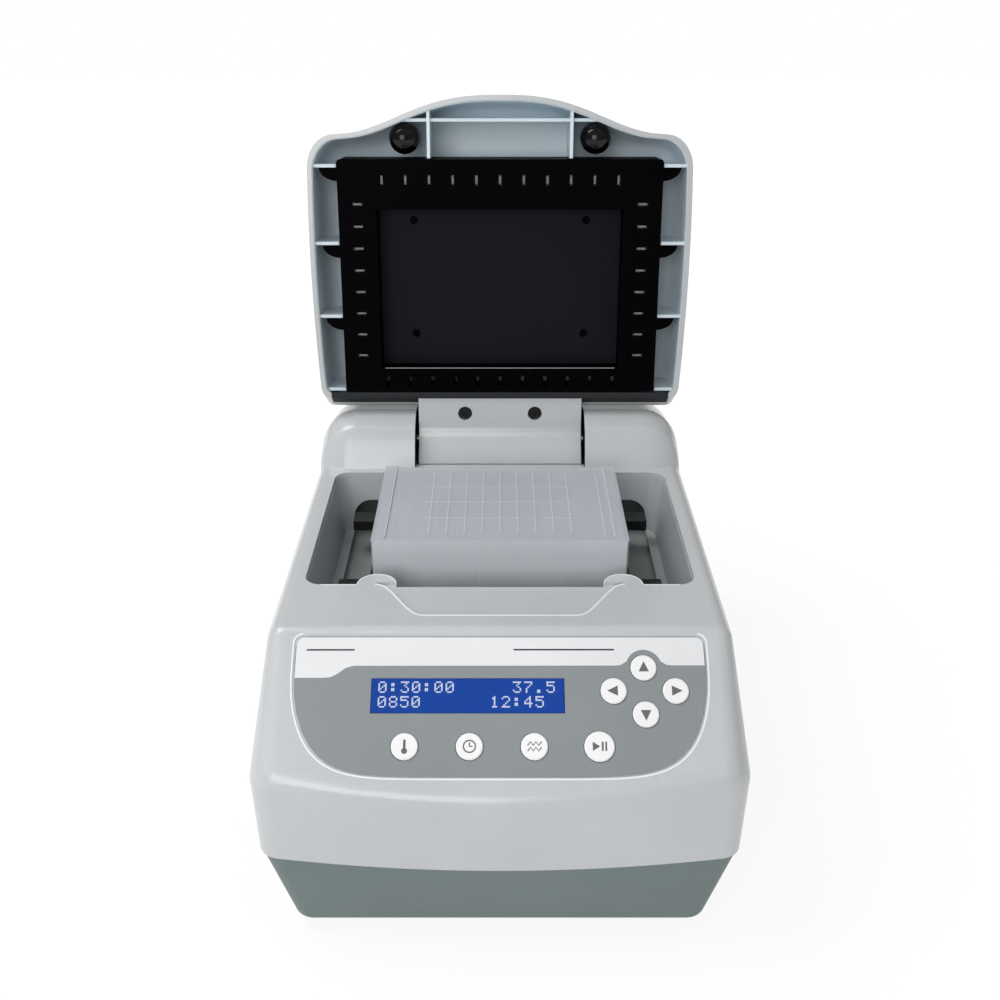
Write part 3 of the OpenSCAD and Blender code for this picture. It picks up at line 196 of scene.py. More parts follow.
# Ball bumpers with their posts and sleeves, and the hot lid's frame with its slots and tabs.
BALL_SPAN = 104.6
BALL_FRONT = 66.2
BALL_R = 8.4
BALL_TOP = DECK_Z + 0.4 + 2 * BALL_R
STEM_HOLE_R = 3.52
STEM_ROOF = 14.0
POST_R = 5.9
POST_GAP = 0.1
SLEEVE_R = 7.3
SLEEVE_GAP = 1.6
FRAME_W = 178.6
FRAME_FRONT = 55.5
FRAME_T = 2.4
FRAME_GAP = 0.4
SLOT_L = 6.0
FRONT_SLOTS = 11
FRONT_SLOT_PITCH = 13.0
FRONT_SLOT_IN = 8.0
SIDE_SLOTS = 8
SIDE_SLOT_PITCH = 12.09
SIDE_SLOT_IN = 10.5
WINDOW_HALF = 66.0
WINDOW_REAR_Y = 60.4
TAB_L = 10.5
TAB_W = 7.2
TAB_LOW = 3.2
TAB_HIGH = 13.0
# Inner skin of the lid: thickness, gap to the wall, foot over the rim, and its ribs.
SKIN_T = 0.4
SKIN_GAP = 0.05
SKIN_FOOT = 0.6
RIB_HALF = 0.9
FRONT_RIB_FOOT = 1.0
CROSS_RIB_FOOT = 4.0
SIDE_RIB_FOOT = 2.0
FRONT_RIB_X = 38.8
CROSS_RIB_X = 62.0
SIDE_RIB_ROWS = (-52, -10.3, 30.5)
REAR_RIB_IN = 4.4
# A place outside the lid, to which bodies run before they are clipped.
PAST_LID = 120.0

# Rack and block. The field is the rack's top between its raised strips.
BLOCK_Y = 15.75
RACK_W = 127.8
RACK_D = 85.5
RACK_TOP = 139.9
RACK_LOW = 100.25
RACK_R = 1.6
RACK_STRIP_W = 6.5
RACK_LIP_D = 3.2
RACK_FIELD_Z = RACK_TOP - 0.7
RACK_WALL = 1.4
RACK_FRONT_RIBS = (-59.5, -50.5, -31.0, -10.5, 9.8, 30.5, 40.2, 52.4, 60.6)
CELL = 9.0

# Keys on the panel: sideways place, distance down the slope, radius.
KEYS = {
    "key_up": (63.8, 18.6, 5.8),
    "key_down": (63.8, 39.6, 5.8),
    "key_left": (50.1, 29.1, 5.8),
    "key_right": (77.5, 29.1, 5.8),
    "key_f1": (-41.3, 53.7, 5.9),
    "key_f2": (-13.2, 53.7, 5.9),
    "key_f3": (14.9, 53.7, 5.9),
    "key_run": (43.0, 53.7, 6.6),
}
KEY_FACE = 0.5
PRINT_T = 0.05
# Directions in which the arrows on keys point, in degrees.
ARROWS = {"key_up": 90, "key_left": 180, "key_down": 270, "key_right": 0}
ICON_R = 2.9

# The photograph's camera, fitted to the corners and cells of the rack.
CAMERA_Y = -519.85
CAMERA_Z = 414.11
CAMERA_PITCH = 27.067
FOCAL_PX = 1142.8
PHOTO_PX = 1000.0
SENSOR_MM = 36.0

SMOOTH_ANGLE = math.radians(32.0)

# Turns drawings made on the panel's plane to their place: x, minus the distance down the slope, height.
PANEL = (Matrix.Translation((0.0, -BEND_REACH * MM, DECK_Z * MM))
         @ Matrix.Rotation(PANEL_SLOPE, 4, "X"))
# Swings a lid piece, drawn shut, to the angle at which the lid stands.
SWING = (Matrix.Translation((0.0, HINGE_Y * MM, HINGE_Z * MM))
         @ Matrix.Rotation(-LID_OPEN, 4, "X")
         @ Matrix.Translation((0.0, -HINGE_Y * MM, -HINGE_Z * MM)))
# Lays a drawing made on (y, z) along X.
ALONG_X = Matrix(((0, 0, 1, 0), (1, 0, 0, 0), (0, 1, 0, 0), (0, 0, 0, 1)))


class Nodes:
    """Short calls for building the node tree of a material or a world."""

    def __init__(self, owner, output="ShaderNodeOutputMaterial"):
        self.owner = owner
        owner.use_nodes = True
        self.tree = owner.node_tree
        self.tree.nodes.clear()
        self.out = self.add(output)

    def add(self, kind, values=(), **settings):
        node = self.tree.nodes.new(kind)
        for key, value in settings.items():
            setattr(node, key, value)
        for key, value in dict(values).items():
            node.inputs[key].default_value = value
        return node

    def link(self, start, end):
        self.tree.links.new(start, end)


def grey(value):
    return (value, value, value, 1.0)


def srgb(r, g, b):
    """Linear colour of an 8-bit screen colour."""
    def lin(v):
        v = v / 255.0
        return v / 12.92 if v <= 0.04045 else ((v + 0.055) / 1.055) ** 2.4
    return (lin(r), lin(g), lin(b), 1.0)


def plastic(name, colour, rough=0.4, grain=0.6, tone=0.04, edge=0.6, bump=0.06, metal=0.0,
            coat=0.0, see_through=0.0, specular=0.5):
    """Moulded or coated surface: fine grain, slow change of tone and softened edges."""
    n = Nodes(bpy.data.materials.new(name))
    shader = n.add("ShaderNodeBsdfPrincipled", {
        "Metallic": metal, "Coat Weight": coat, "Coat Roughness": 0.12, "Specular IOR Level": specular})
    place = n.add("ShaderNodeTexCoord")
    slow = n.add("ShaderNodeTexNoise", {"Scale": 14.0, "Detail": 4.0, "Roughness": 0.6})
    fine = n.add("ShaderNodeTexNoise", {"Scale": 1.0 / MM / grain, "Detail": 2.0, "Roughness": 0.5})
    for texture in (slow, fine):
        n.link(place.outputs["Object"], texture.inputs["Vector"])
    spread = {"From Min": 0.3, "From Max": 0.7}
    shade = n.add("ShaderNodeMapRange", {**spread, "To Min": 1.0 - tone, "To Max": 1.0 + tone})
    n.link(slow.outputs["Fac"], shade.inputs["Value"])
    tint = n.add("ShaderNodeVectorMath", operation="SCALE")
    tint.inputs[0].default_value = colour[:3]
    n.link(shade.outputs["Result"], tint.inputs["Scale"])
    n.link(tint.outputs["Vector"], shader.inputs["Base Color"])
    dull = n.add("ShaderNodeMapRange", {**spread, "To Min": rough - 0.05, "To Max": rough + 0.05})
    n.link(fine.outputs["Fac"], dull.inputs["Value"])
    n.link(dull.outputs["Result"], shader.inputs["Roughness"])
    relief = n.add("ShaderNodeBump", {"Strength": bump, "Distance": 0.0002})
    n.link(fine.outputs["Fac"], relief.inputs["Height"])
    if edge > 0:
        soft = n.add("ShaderNodeBevel", {"Radius": edge * MM}, samples=6)
        n.link(soft.outputs["Normal"], relief.inputs["Normal"])
    n.link(relief.outputs["Normal"], shader.inputs["Normal"])
    surface = shader.outputs["BSDF"]
    if see_through > 0:
        clear = n.add("ShaderNodeBsdfTransparent", {"Color": grey(1.0)})
        mix = n.add("ShaderNodeMixShader", {"Fac": see_through})
        n.link(surface, mix.inputs[1])
        n.link(clear.outputs["BSDF"], mix.inputs[2])
        surface = mix.outputs["Shader"]
    n.link(surface, n.out.inputs["Surface"])
    return n.owner


FINISHES = {
    "casing_grey": dict(colour=srgb(200, 203, 205), rough=0.24, coat=0.25),
    "base_green": dict(colour=srgb(110, 124, 123), rough=0.5, grain=1.2, bump=0.2),
    "feet_rubber": dict(colour=srgb(28, 28, 28), rough=0.75, bump=0.3),
    "screw_steel": dict(colour=srgb(150, 150, 152), rough=0.35, metal=1.0),
    "liner_plastic": dict(colour=srgb(172, 178, 180), rough=0.4),
    "baffle_paint": dict(colour=srgb(98, 108, 104), rough=0.45),
    "film_print": dict(colour=srgb(143, 148, 151), rough=0.32, edge=0.2, bump=0.03),
    "display_glass": dict(colour=srgb(22, 68, 158), rough=0.2, edge=0.2, bump=0.0, specular=0.2),
    "board_green": dict(colour=srgb(20, 84, 44), rough=0.35, edge=0.2),
    "chassis_steel": dict(colour=srgb(186, 188, 190), rough=0.4, metal=1.0),
    "motor_black": dict(colour=srgb(44, 46, 48), rough=0.4),
    "supply_case": dict(colour=srgb(180, 182, 184), rough=0.45, metal=1.0),
    "fitting_black": dict(colour=srgb(14, 14, 15), rough=0.35, edge=0.3, specular=0.3),
    "hinge_steel": dict(colour=srgb(170, 172, 174), rough=0.25, metal=1.0),
    "weight_brass": dict(colour=srgb(176, 148, 84), rough=0.3, metal=1.0),
    "platform_paint": dict(colour=srgb(160, 170, 167), rough=0.35),
    "pad_foam": dict(colour=srgb(50, 50, 52), rough=0.85, bump=0.5),
    "block_aluminium": dict(colour=srgb(200, 202, 206), rough=0.3, metal=1.0),
    "cradle_black": dict(colour=srgb(16, 17, 18), rough=0.3, edge=0.5),
    "rack_frosted": dict(colour=srgb(212, 217, 224), rough=0.45, see_through=0.36),
    "key_white": dict(colour=srgb(250, 250, 250), rough=0.35, edge=0.3),
    "hot_frame_black": dict(colour=srgb(3, 2, 4), rough=0.5, edge=0.4, tone=0.02, specular=0.02),
    "hot_plate_dark": dict(colour=srgb(24, 26, 31), rough=0.5, edge=0.3, specular=0.05),
    "insulation_wool": dict(colour=srgb(200, 190, 160), rough=0.9, bump=0.6),
    "ball_black": dict(colour=srgb(4, 4, 6), rough=0.1, edge=0.0, bump=0.0, specular=0.3),
}
MATERIALS = {slot: plastic(slot, **finish) for slot, finish in FINISHES.items()}
# The lid's inside, a lighter copy of the casing's grey that paints light into the shaded inside of the lid.
LID_INSIDE_LIT = plastic("lid_inside_lightened", srgb(222, 236, 244), rough=0.3)
# Black of the plate's screws, also used as painted shade on the plates in the hinge's slot.
SCREW_AND_SHADE_BLACK = plastic("screw_and_shade_black", srgb(1, 1, 2), rough=0.5, edge=0.2, specular=0.02)
# Light lines of the rack: cell walls seen through its top, and painted highlights along its edges.
RACK_LINE_AND_HIGHLIGHT = plastic("rack_line_and_highlight", srgb(208, 214, 223), rough=0.4, edge=0.0, bump=0.0)
# A lighter copy of the rack's frosted plastic, which paints light onto the shaded front of the rack.
RACK_FRONT_LIT = plastic("rack_front_lightened", srgb(232, 236, 242), rough=0.4, edge=0.0, see_through=0.25)
# Near white that paints highlights on the deck's beads and on the film's lip.
EDGE_HIGHLIGHT = plastic("edge_highlight", srgb(246, 247, 248), rough=0.2, edge=0.0, bump=0.0)
POST_SHADE = plastic("post_shade", srgb(128, 140, 148), rough=0.3, edge=0.3)
# Dark grey that paints the shade under the rear of the open lid.
REAR_SHADE_DARK = plastic("rear_shade_dark", srgb(46, 48, 50), rough=0.6, edge=0.0, specular=0.15)
# Light grey of the backing in the frame's slots, also used as a painted highlight along the window's edge.
SLOT_BACKING_AND_HIGHLIGHT = plastic("slot_backing_and_highlight", srgb(168, 170, 172), rough=0.5, edge=0.0)

for row in frame["record"]["subparts"]:
    node = frame["nodes"][row["node"]]
    node.data.materials.clear()
    dark = row["node"] == "plate_screws"
    node.data.materials.append(SCREW_AND_SHADE_BLACK if dark else MATERIALS[row["material_slot"]])


def new_object(name, data):
    """An object of a mesh, lamp or camera, linked to the scene."""
    obj = bpy.data.objects.new(name, data)
    bpy.context.scene.collection.objects.link(obj)
    return obj


def new_mesh(name, verts, faces):
    """An object from points in millimetres."""
    mesh = bpy.data.meshes.new(name)
    mesh.from_pydata([(x * MM, y * MM, z * MM) for x, y, z in verts], [], faces)
    mesh.validate()
    return new_object(name, mesh)


def smooth(obj):
    """Smooth shading that keeps sharper edges."""
    bpy.context.view_layer.objects.active = obj
    for other in bpy.context.selected_objects:
        other.select_set(False)
    obj.select_set(True)
    bpy.ops.object.shade_smooth_by_angle(angle=SMOOTH_ANGLE)
    obj.select_set(False)


def finish_shell(obj, body, slot, *nodes, look=None):
    """Material, shading, body and CAD nodes of a finished piece."""
    obj.data.materials.clear()
    obj.data.materials.append(look or MATERIALS[slot])
    smooth(obj)
    weigh = obj.modifiers.new("weigh", "WEIGHTED_NORMAL")
    weigh.keep_sharp = True
    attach(obj, body)
    if nodes:
        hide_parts(*nodes)


def outward(obj):
    """Turns all faces of a closed body outwards."""
    shape = bmesh.new()
    shape.from_mesh(obj.data)
    bmesh.ops.recalc_face_normals(shape, faces=shape.faces)
    shape.to_mesh(obj.data)
    shape.free()
    return obj


def combine(obj, other, operation):
    """Joins, cuts or clips obj with another closed body, which is used up."""
    modifier = obj.modifiers.new("combine", "BOOLEAN")
    modifier.operation = operation
    modifier.solver = "MANIFOLD"
    modifier.object = other
    graph = bpy.context.evaluated_depsgraph_get()
    mesh = bpy.data.meshes.new_from_object(obj.evaluated_get(graph))
    obj.modifiers.clear()
    obj.data = mesh
    bpy.data.objects.remove(other)
    return obj


def joined(name, bodies):
    """Several bodies as one, which takes the name."""
    whole = bodies[0]
    for body in bodies[1:]:
        combine(whole, body, "UNION")
    whole.name = name
    return whole


def arc(centre, r, start, end, steps=12):
    """Points of an arc; angles in degrees."""
    return [(centre[0] + r * math.cos(math.radians(start + (end - start) * i / steps)),
             centre[1] + r * math.sin(math.radians(start + (end - start) * i / steps)))
            for i in range(steps + 1)]


def circle(centre, r, steps=48):
    return [(centre[0] + r * math.cos(2 * math.pi * i / steps),
             centre[1] + r * math.sin(2 * math.pi * i / steps)) for i in range(steps)]


def rectangle(low, high):
    return [(low[0], low[1]), (high[0], low[1]), (high[0], high[1]), (low[0], high[1])]


def rounded(low, high, r, steps=8):
    """Outline of a rectangle with round corners."""
    return (arc((high[0] - r, high[1] - r), r, 0, 90, steps)
            + arc((low[0] + r, high[1] - r), r, 90, 180, steps)
            + arc((low[0] + r, low[1] + r), r, 180, 270, steps)
            + arc((high[0] - r, low[1] + r), r, 270, 360, steps))


def thick_line(points, width):
    """Outline of a line of even width through points."""
    left, right = [], []
    for i, (x, y) in enumerate(points):
        ax, ay = points[max(i - 1, 0)]
        bx, by = points[min(i + 1, len(points) - 1)]
        length = math.hypot(bx - ax, by - ay)
        nx, ny = -(by - ay) / length, (bx - ax) / length
        left.append((x + nx * width / 2, y + ny * width / 2))
        right.append((x - nx * width / 2, y - ny * width / 2))
    return left + right[::-1]


def curve_through(points, steps=6):
    """A smooth curve through points, ends kept."""
    fine = []
    last = len(points) - 1
    for i in range(last):
        p0 = points[max(i - 1, 0)]
        p1 = points[i]
        p2 = points[i + 1]
        p3 = points[min(i + 2, last)]
        for s in range(steps):
            u = s / steps
            fine.append(tuple(
                0.5 * (2 * b + (c - a) * u + (2 * a - 5 * b + 4 * c - d) * u * u
                       + (3 * b - a - 3 * c + d) * u ** 3)
                for a, b, c, d in zip(p0, p1, p2, p3)))
    fine.append(points[last])
    return fine


def slab(outline, low, high, base=0):
    """Points and faces of an outline extruded from low to high; base counts the points before it."""
    count = len(outline)
    verts = [(x, y, z) for z in (low, high) for x, y in outline]
    faces = [tuple(range(base + count - 1, base - 1, -1)), tuple(range(base + count, base + 2 * count))]
    faces += [(base + i, base + (i + 1) % count, base + count + (i + 1) % count, base + count + i)
              for i in range(count)]
    return verts, faces


def slabs(name, rows):
    """Many thin bodies as one piece; each row gives an outline, which turns left, and its low and high."""
    verts, faces = [], []
    for outline, low, high in rows:
        points, sides = slab(outline, low, high, len(verts))
        verts += points
        faces += sides
    return new_mesh(name, verts, faces)


def turning_left(outline):
    """The outline with its inside on the left."""
    area = sum(a[0] * b[1] - b[0] * a[1] for a, b in zip(outline, outline[1:] + outline[:1]))
    return outline if area > 0 else outline[::-1]


def plain_boxes(name, bars):
    """Many small boxes, each given by two corners, as one piece."""
    return slabs(name, [(rectangle(low, high), low[2], high[2]) for low, high in bars])


def prism(name, outline, low, high, matrix=None):
    """A closed outline of (x, y) points, extruded from low to high."""
    obj = outward(new_mesh(name, *slab(outline, low, high)))
    if matrix is not None:
        obj.data.transform(matrix)
    return obj


def box(name, low, high, matrix=None):
    return prism(name, rectangle(low, high), low[2], high[2], matrix)


def loft(name, rings, matrix=None):
    """A closed body through rings of equal length, each a list of points."""
    count = len(rings[0])
    verts = [p for ring in rings for p in ring]
    faces = [(j * count + i, (j + 1) * count + i, (j + 1) * count + (i + 1) % count,
              j * count + (i + 1) % count)
             for j in range(len(rings) - 1) for i in range(count)]
    faces.append(tuple(range(count)))
    faces.append(tuple(range(len(verts) - 1, len(verts) - count - 1, -1)))
    obj = outward(new_mesh(name, verts, faces))
    if matrix is not None:
        obj.data.transform(matrix)
    return obj


def stacked(outline, section, base=0.0):
    """Rings of an outline that grows along a section of (height, growth)."""
    return [[(x, y, base + z) for x, y in outline(grow)] for z, grow in section]


def hull(name, points):
    """The convex body around points in millimetres."""
    mesh = bpy.data.meshes.new(name)
    shape = bmesh.new()
    for x, y, z in points:
        shape.verts.new((x * MM, y * MM, z * MM))
    result = bmesh.ops.convex_hull(shape, input=shape.verts)
    inside = [g for g in result["geom_interior"] if isinstance(g, bmesh.types.BMVert)]
    bmesh.ops.delete(shape, geom=inside, context="VERTS")
    bmesh.ops.remove_doubles(shape, verts=shape.verts, dist=0.00001)
    bmesh.ops.recalc_face_normals(shape, faces=shape.faces)
    shape.to_mesh(mesh)
    shape.free()
    return new_object(name, mesh)


def ball_points(centre, r, rows=20, turns=48):
    """Points of a sphere."""
    points = []
    for i in range(rows + 1):
        tilt = math.pi * i / rows
        for j in range(turns):
            turn = 2 * math.pi * j / turns
            points.append((centre[0] + r * math.sin(tilt) * math.cos(turn),
                           centre[1] + r * math.sin(tilt) * math.sin(turn),
                           centre[2] + r * math.cos(tilt)))
    return points


def disc_points(centre, r):
    return [(x, y, centre[2]) for x, y in circle(centre, r)]


def evenly(half, count):
    """Places from -half to half in a number of even steps."""
    return [-half + 2 * half * i / count for i in range(count + 1)]


def row_of(count, pitch):
    """Places of a row with its middle at nought."""
    return [(i - (count - 1) / 2) * pitch for i in range(count)]


def bow(x):
    """How far the front stands back at a distance from the middle."""
    return FRONT_BOW * (x / BOW_HALF) ** 2


def panel_z(reach):
    return DECK_Z - (reach - BEND_REACH) * math.tan(PANEL_SLOPE)


def nose_centre(x, r):
    """Centre (y, z) of a ball of radius r that touches both panel and front."""
    reach = NOSE_REACH - bow(x)
    return -reach + NOSE_BACK * r, panel_z(reach) - NOSE_DROP * r


def casing_points(inset=0.0, drop=0.0, step=6.0):
    """Outer form of the upper casing up to the deck, or the room inside it when inset."""
    points = []
    seam = SEAM_Z - drop
    reach_x = SEAM_W / 2 - SEAM_R
    for x in evenly(reach_x, int(2 * reach_x / step)):
        points.append((x, -FRONT_REACH + bow(x) + inset, seam))
    for x in evenly(NOSE_HALF, int(2 * NOSE_HALF / step)):
        y, z = nose_centre(x, NOSE_R)
        for a in range(0, 360, 10):
            points.append((x, y + (NOSE_R - inset) * math.cos(math.radians(a)),
                           z + (NOSE_R - inset) * math.sin(math.radians(a))))
    end_x = CASING_W / 2 - CORNER_R
    bend = -BEND_REACH + DECK_R * math.tan(PANEL_SLOPE / 2)
    for side in (-1, 1):
        points += disc_points((side * reach_x, -FRONT_REACH + bow(reach_x) + SEAM_R, seam), SEAM_R - inset)
        for width, z in ((SEAM_W, seam), (CASING_W, BELT_Z)):
            points += disc_points((side * (width / 2 - REAR_R), REAR_REACH - REAR_R, z), REAR_R - inset)
        y, z = nose_centre(end_x, CORNER_R)
        points += ball_points((side * end_x, y, z), CORNER_R - inset)
        for y in (bend, REAR_REACH - DECK_R):
            points += ball_points((side * (DECK_W / 2 - DECK_R), y, DECK_Z - DECK_R), DECK_R - inset)
    return points


def shoulder_crest(inset=0.0):
    """Profile (y, z) over the hump that carries the hinge, from its front to the rear wall."""
    return curve_through([
        (LID_REAR_Y + inset, DECK_Z - 4),
        (HINGE_Y - 15 + inset * 0.7, HINGE_Z + 9.4 - inset * 0.7),
        (HINGE_Y - 8 + inset * 0.5, HINGE_Z + 14.6 - inset * 0.8),
        (HINGE_Y, HINGE_Z + SHOULDER_R - inset),
        (HINGE_Y + 9, HINGE_Z + SHOULDER_R - 2 - inset),
        (REAR_REACH - 7 - inset * 0.4, HINGE_Z + 10.5 - inset),
        (REAR_REACH - inset, HINGE_Z + 4 - inset * 0.6)])


def shoulder_points(inset=0.0, steps=10):
    """The hump with outer ends that round down to the sides and into the rear."""
    root = DECK_Z - SHOULDER_ROOT
    profile = shoulder_crest(inset) + [(REAR_REACH - inset, root), (LID_REAR_Y + inset, root)]
    points = []
    for side in (-1, 1):
        for i in range(steps + 1):
            a = math.pi / 2 * i / steps
            inward = SHOULDER_IN * (1 - math.sin(a))
            x = DECK_W / 2 - inset - inward - 0.01
            fall = SHOULDER_FALL * (1 - math.cos(a))
            turn = REAR_R - math.sqrt(REAR_R ** 2 - max(0.0, REAR_R - inward) ** 2)
            points += [(side * x, min(y, REAR_REACH - inset - turn), z - fall) for y, z in profile]
    return points


def knuckle_room(grow):
    """Two bodies that leave room for the knuckle: its barrel, and its lip, which swings over the deck."""
    half = SLOT_W / 2 + grow
    barrel = circle((HINGE_Y, HINGE_Z), KNUCKLE_R + TROUGH_GAP + grow, 96)
    return (prism("trough", barrel, -half, half, ALONG_X),
            box("lip_way", (-half, HINGE_Y - LIP_REACH - grow, DECK_Z + LIP_GAP - grow),
                (half, HINGE_Y + KNUCKLE_R + KNUCKLE_REAR_GAP + grow, HINGE_Z + SHOULDER_R + CUT)))


def recess_outline(grow):
    """Outline of the shallow finger recess in the deck, in front of the well."""
    sweep = []
    for i in range(RECESS_STEPS + 1):
        u = i / RECESS_STEPS
        half = RECESS_WIDE + (RECESS_NARROW - RECESS_WIDE) * u
        sweep.append((half + grow, -WELL_FRONT - (RECESS_L + grow) * (1 - math.cos(math.pi * u)) / 2))
    wide = RECESS_WIDE + grow
    mirrored = [(-x, y) for x, y in reversed(sweep)]
    return sweep + mirrored + [(-wide, -WELL_FRONT + 2), (wide, -WELL_FRONT + 2)]


def film_outline(grow, steps=40):
    """Outline of the panel film: straight at the top, and drawn in to one soft curve at the bottom."""
    half = FILM_W / 2 + grow
    straight = FILM_TOP + FILM_SIDE
    deep = FILM_TOP + FILM_L + grow - straight
    right = arc((half - FILM_CORNER, -FILM_TOP - FILM_CORNER + grow), FILM_CORNER, 90, 0, 6)
    for i in range(steps + 1):
        u = math.sin(math.pi / 2 * i / steps)
        right.append((half * (1 - u * u) ** (1 / FILM_POWER), -straight - deep * u))
    return right + [(-x, y) for x, y in reversed(right[:-1])]


def casing_body():
    """Walls of the upper casing with its hump, open below and at the hinge's slot."""
    shell = combine(hull("upper_casing_skin", casing_points()), hull("hump", shoulder_points()), "UNION")
    room = combine(hull("room", casing_points(WALL, CUT, 12.0)),
                   hull("hump_room", shoulder_points(WALL)), "UNION")
    for cut in knuckle_room(WALL):
        combine(room, cut, "DIFFERENCE")
    combine(shell, room, "DIFFERENCE")
    for cut in knuckle_room(0.0):
        combine(shell, cut, "DIFFERENCE")
    return shell


def shape_deck(shell):
    """Cuts the well and the finger recess, and adds the screw bosses."""
    well = rounded((-WELL_W / 2, -WELL_FRONT), (WELL_W / 2, WELL_BACK), WELL_R, 12)
    combine(shell, prism("well", well, LEDGE_Z, DECK_Z + CUT), "DIFFERENCE")
    for side in (-1, 1):
        place = (side * BOSS_SPAN / 2, -WELL_FRONT)
        combine(shell, prism("boss", circle(place, BOSS_R, 64), DECK_Z - BOSS_H, DECK_Z), "UNION")
    combine(shell, loft("recess", stacked(recess_outline, RECESS_EDGE, DECK_Z)), "DIFFERENCE")


def cut_panel(shell):
    """Cuts the film's dish and the holes of the keys and the display."""
    combine(shell, loft("film_pocket", stacked(film_outline, DISH_EDGE), PANEL), "DIFFERENCE")
    low, high = PANEL_CUT
    for x, t, r in KEYS.values():
        combine(shell, prism("key_hole", circle((x, -t), r + KEY_GAP), low, high, PANEL), "DIFFERENCE")
    half_w, half_l = DISPLAY_HOLE_W / 2, DISPLAY_HOLE_L / 2
    hole = box("display_hole", (DISPLAY_X - half_w, -DISPLAY_T - half_l, low),
               (DISPLAY_X + half_w, -DISPLAY_T + half_l, high), PANEL)
    combine(shell, hole, "DIFFERENCE")


def cut_rear(shell):
    """Cuts the openings of the rear wall and the bores of the hinge pins."""
    inside = REAR_REACH - REAR_CUT
    for middle, width, height in REAR_HOLES:
        hole = box("rear_hole", (middle - width / 2, inside, INLET_Z - height / 2),
                   (middle + width / 2, REAR_REACH + CUT, INLET_Z + height / 2))
        combine(shell, hole, "DIFFERENCE")
    for i in range(VENTS):
        x = FAN_X - VENT_START + VENT_PITCH * i
        vent = box("vent", (x, inside, INLET_Z - VENT_DROP),
                   (x + VENT_W, REAR_REACH + CUT, INLET_Z + VENT_RISE))
        combine(shell, vent, "DIFFERENCE")
    reach = SLOT_W / 2 + PIN_DEPTH
    bores = prism("pin_bores", circle((HINGE_Y, HINGE_Z), PIN_HOLE_R), -reach, reach, ALONG_X)
    combine(shell, bores, "DIFFERENCE")


def make_upper_casing():
    shell = casing_body()
    shape_deck(shell)
    cut_panel(shell)
    cut_rear(shell)
    finish_shell(shell, "base", "casing_grey", "upper_casing", "deck_bosses")


def make_gap_shade_plates():
    """Thin dark plates on the walls of the hinge's slot, which paint the shade in its gaps."""
    foot = DECK_Z + PLATE_FOOT
    outline = [p for p in shoulder_crest(0.5) if p[1] > foot]
    outline += [(REAR_REACH - 2, foot), (outline[0][0], foot)]
    near, far = SLOT_W / 2 - PLATE_FAR, SLOT_W / 2 - PLATE_NEAR
    plates = joined("hinge_gap_shade", [prism("hinge_gap_shade", outline, near, far, ALONG_X),
                                  prism("hinge_gap_shade_left", outline, -far, -near, ALONG_X)])
    finish_shell(plates, "base", "fitting_black", look=SCREW_AND_SHADE_BLACK)


def tray_points(inset=0.0, low=FOOT_H, high=SEAM_Z - SEAM_GAP):
    """Outer form of the lower casing, or the room inside it when inset."""
    shift = inset + TRAY_STEP
    points = []
    reach_x = SEAM_W / 2 - SEAM_R
    for x in evenly(reach_x, 32):
        points.append((x, -FRONT_REACH + bow(x) + shift, high))
    for side in (-1, 1):
        points += disc_points((side * reach_x, -FRONT_REACH + bow(reach_x) + SEAM_R, high), SEAM_R - shift)
        points += disc_points((side * (SEAM_W / 2 - REAR_R), REAR_REACH - REAR_R, high), REAR_R - shift)
        for y in (-BASE_REACH + BASE_R, REAR_REACH - BASE_REAR_IN):
            points += disc_points((side * (BASE_W / 2 - BASE_R), y, low), BASE_R - inset)
    return points


def make_lower_casing():
    floor = FOOT_H + WALL
    tray = hull("lower_casing_skin", tray_points())
    combine(tray, hull("tray_room", tray_points(WALL, floor, SEAM_Z + CUT)), "DIFFERENCE")
    for x in (-SCREW_X, SCREW_X):
        for y in SCREW_ROWS:
            boss = prism("boss", circle((x, y), SCREW_BOSS_R), floor - 0.5, floor + SCREW_BOSS_H)
            combine(tray, boss, "UNION")
            way = prism("screw_way", circle((x, y), SCREW_HOLE_R, 24), FOOT_H - CUT,
                        floor + SCREW_BOSS_H + CUT)
            combine(tray, way, "DIFFERENCE")
    for i in range(BASE_SLOTS):
        x = BASE_SLOT_X + i * BASE_SLOT_PITCH
        slot = box("slot", (x, BASE_SLOT_FRONT, FOOT_H - CUT),
                   (x + BASE_SLOT_W, BASE_SLOT_BACK, floor + CUT))
        combine(tray, slot, "DIFFERENCE")
    finish_shell(tray, "base", "base_green", "lower_casing")


def lid_arch(x):
    """Share of the crown's height at a distance from the middle."""
    return (1 + math.cos(math.pi * min(1.0, abs(x) / ARCH_W) ** ARCH_POWER)) / 2


def lid_front_y(x):
    return -LID_FRONT + LID_BOW * (x / LID_BOW_HALF) ** 2 - ARCH_H * lid_arch(x)


def lid_half(y):
    return LID_W / 2 - LID_TAPER * ((y - LID_WIDEST_Y) / LID_TAPER_REACH) ** 2


def lid_rim(steps=40):
    """The lid's rim, from the rear right corner round the front to the rear left corner."""
    rear = LID_REAR_Y
    right = [(lid_half(rear) - x, rear - y) for x, y in ((5, 0), (3, 0.3), (1.4, 1.4), (0.3, 3))]
    right += [(lid_half(y), y) for y in range(int(rear) - 5, int(LID_CORNER_Y), -4)]
    bend_x = lid_half(LID_CORNER_Y) - LID_CORNER_R
    forward = lid_front_y(bend_x) - LID_CORNER_Y
    right += [(bend_x + LID_CORNER_R * math.cos(math.radians(a)),
               LID_CORNER_Y + forward * math.sin(math.radians(a))) for a in range(0, 90, 6)]
    right += [(bend_x * (1 - i / steps), lid_front_y(bend_x * (1 - i / steps))) for i in range(steps)]
    return right + [(0.0, lid_front_y(0))] + [(-x, y) for x, y in reversed(right)]


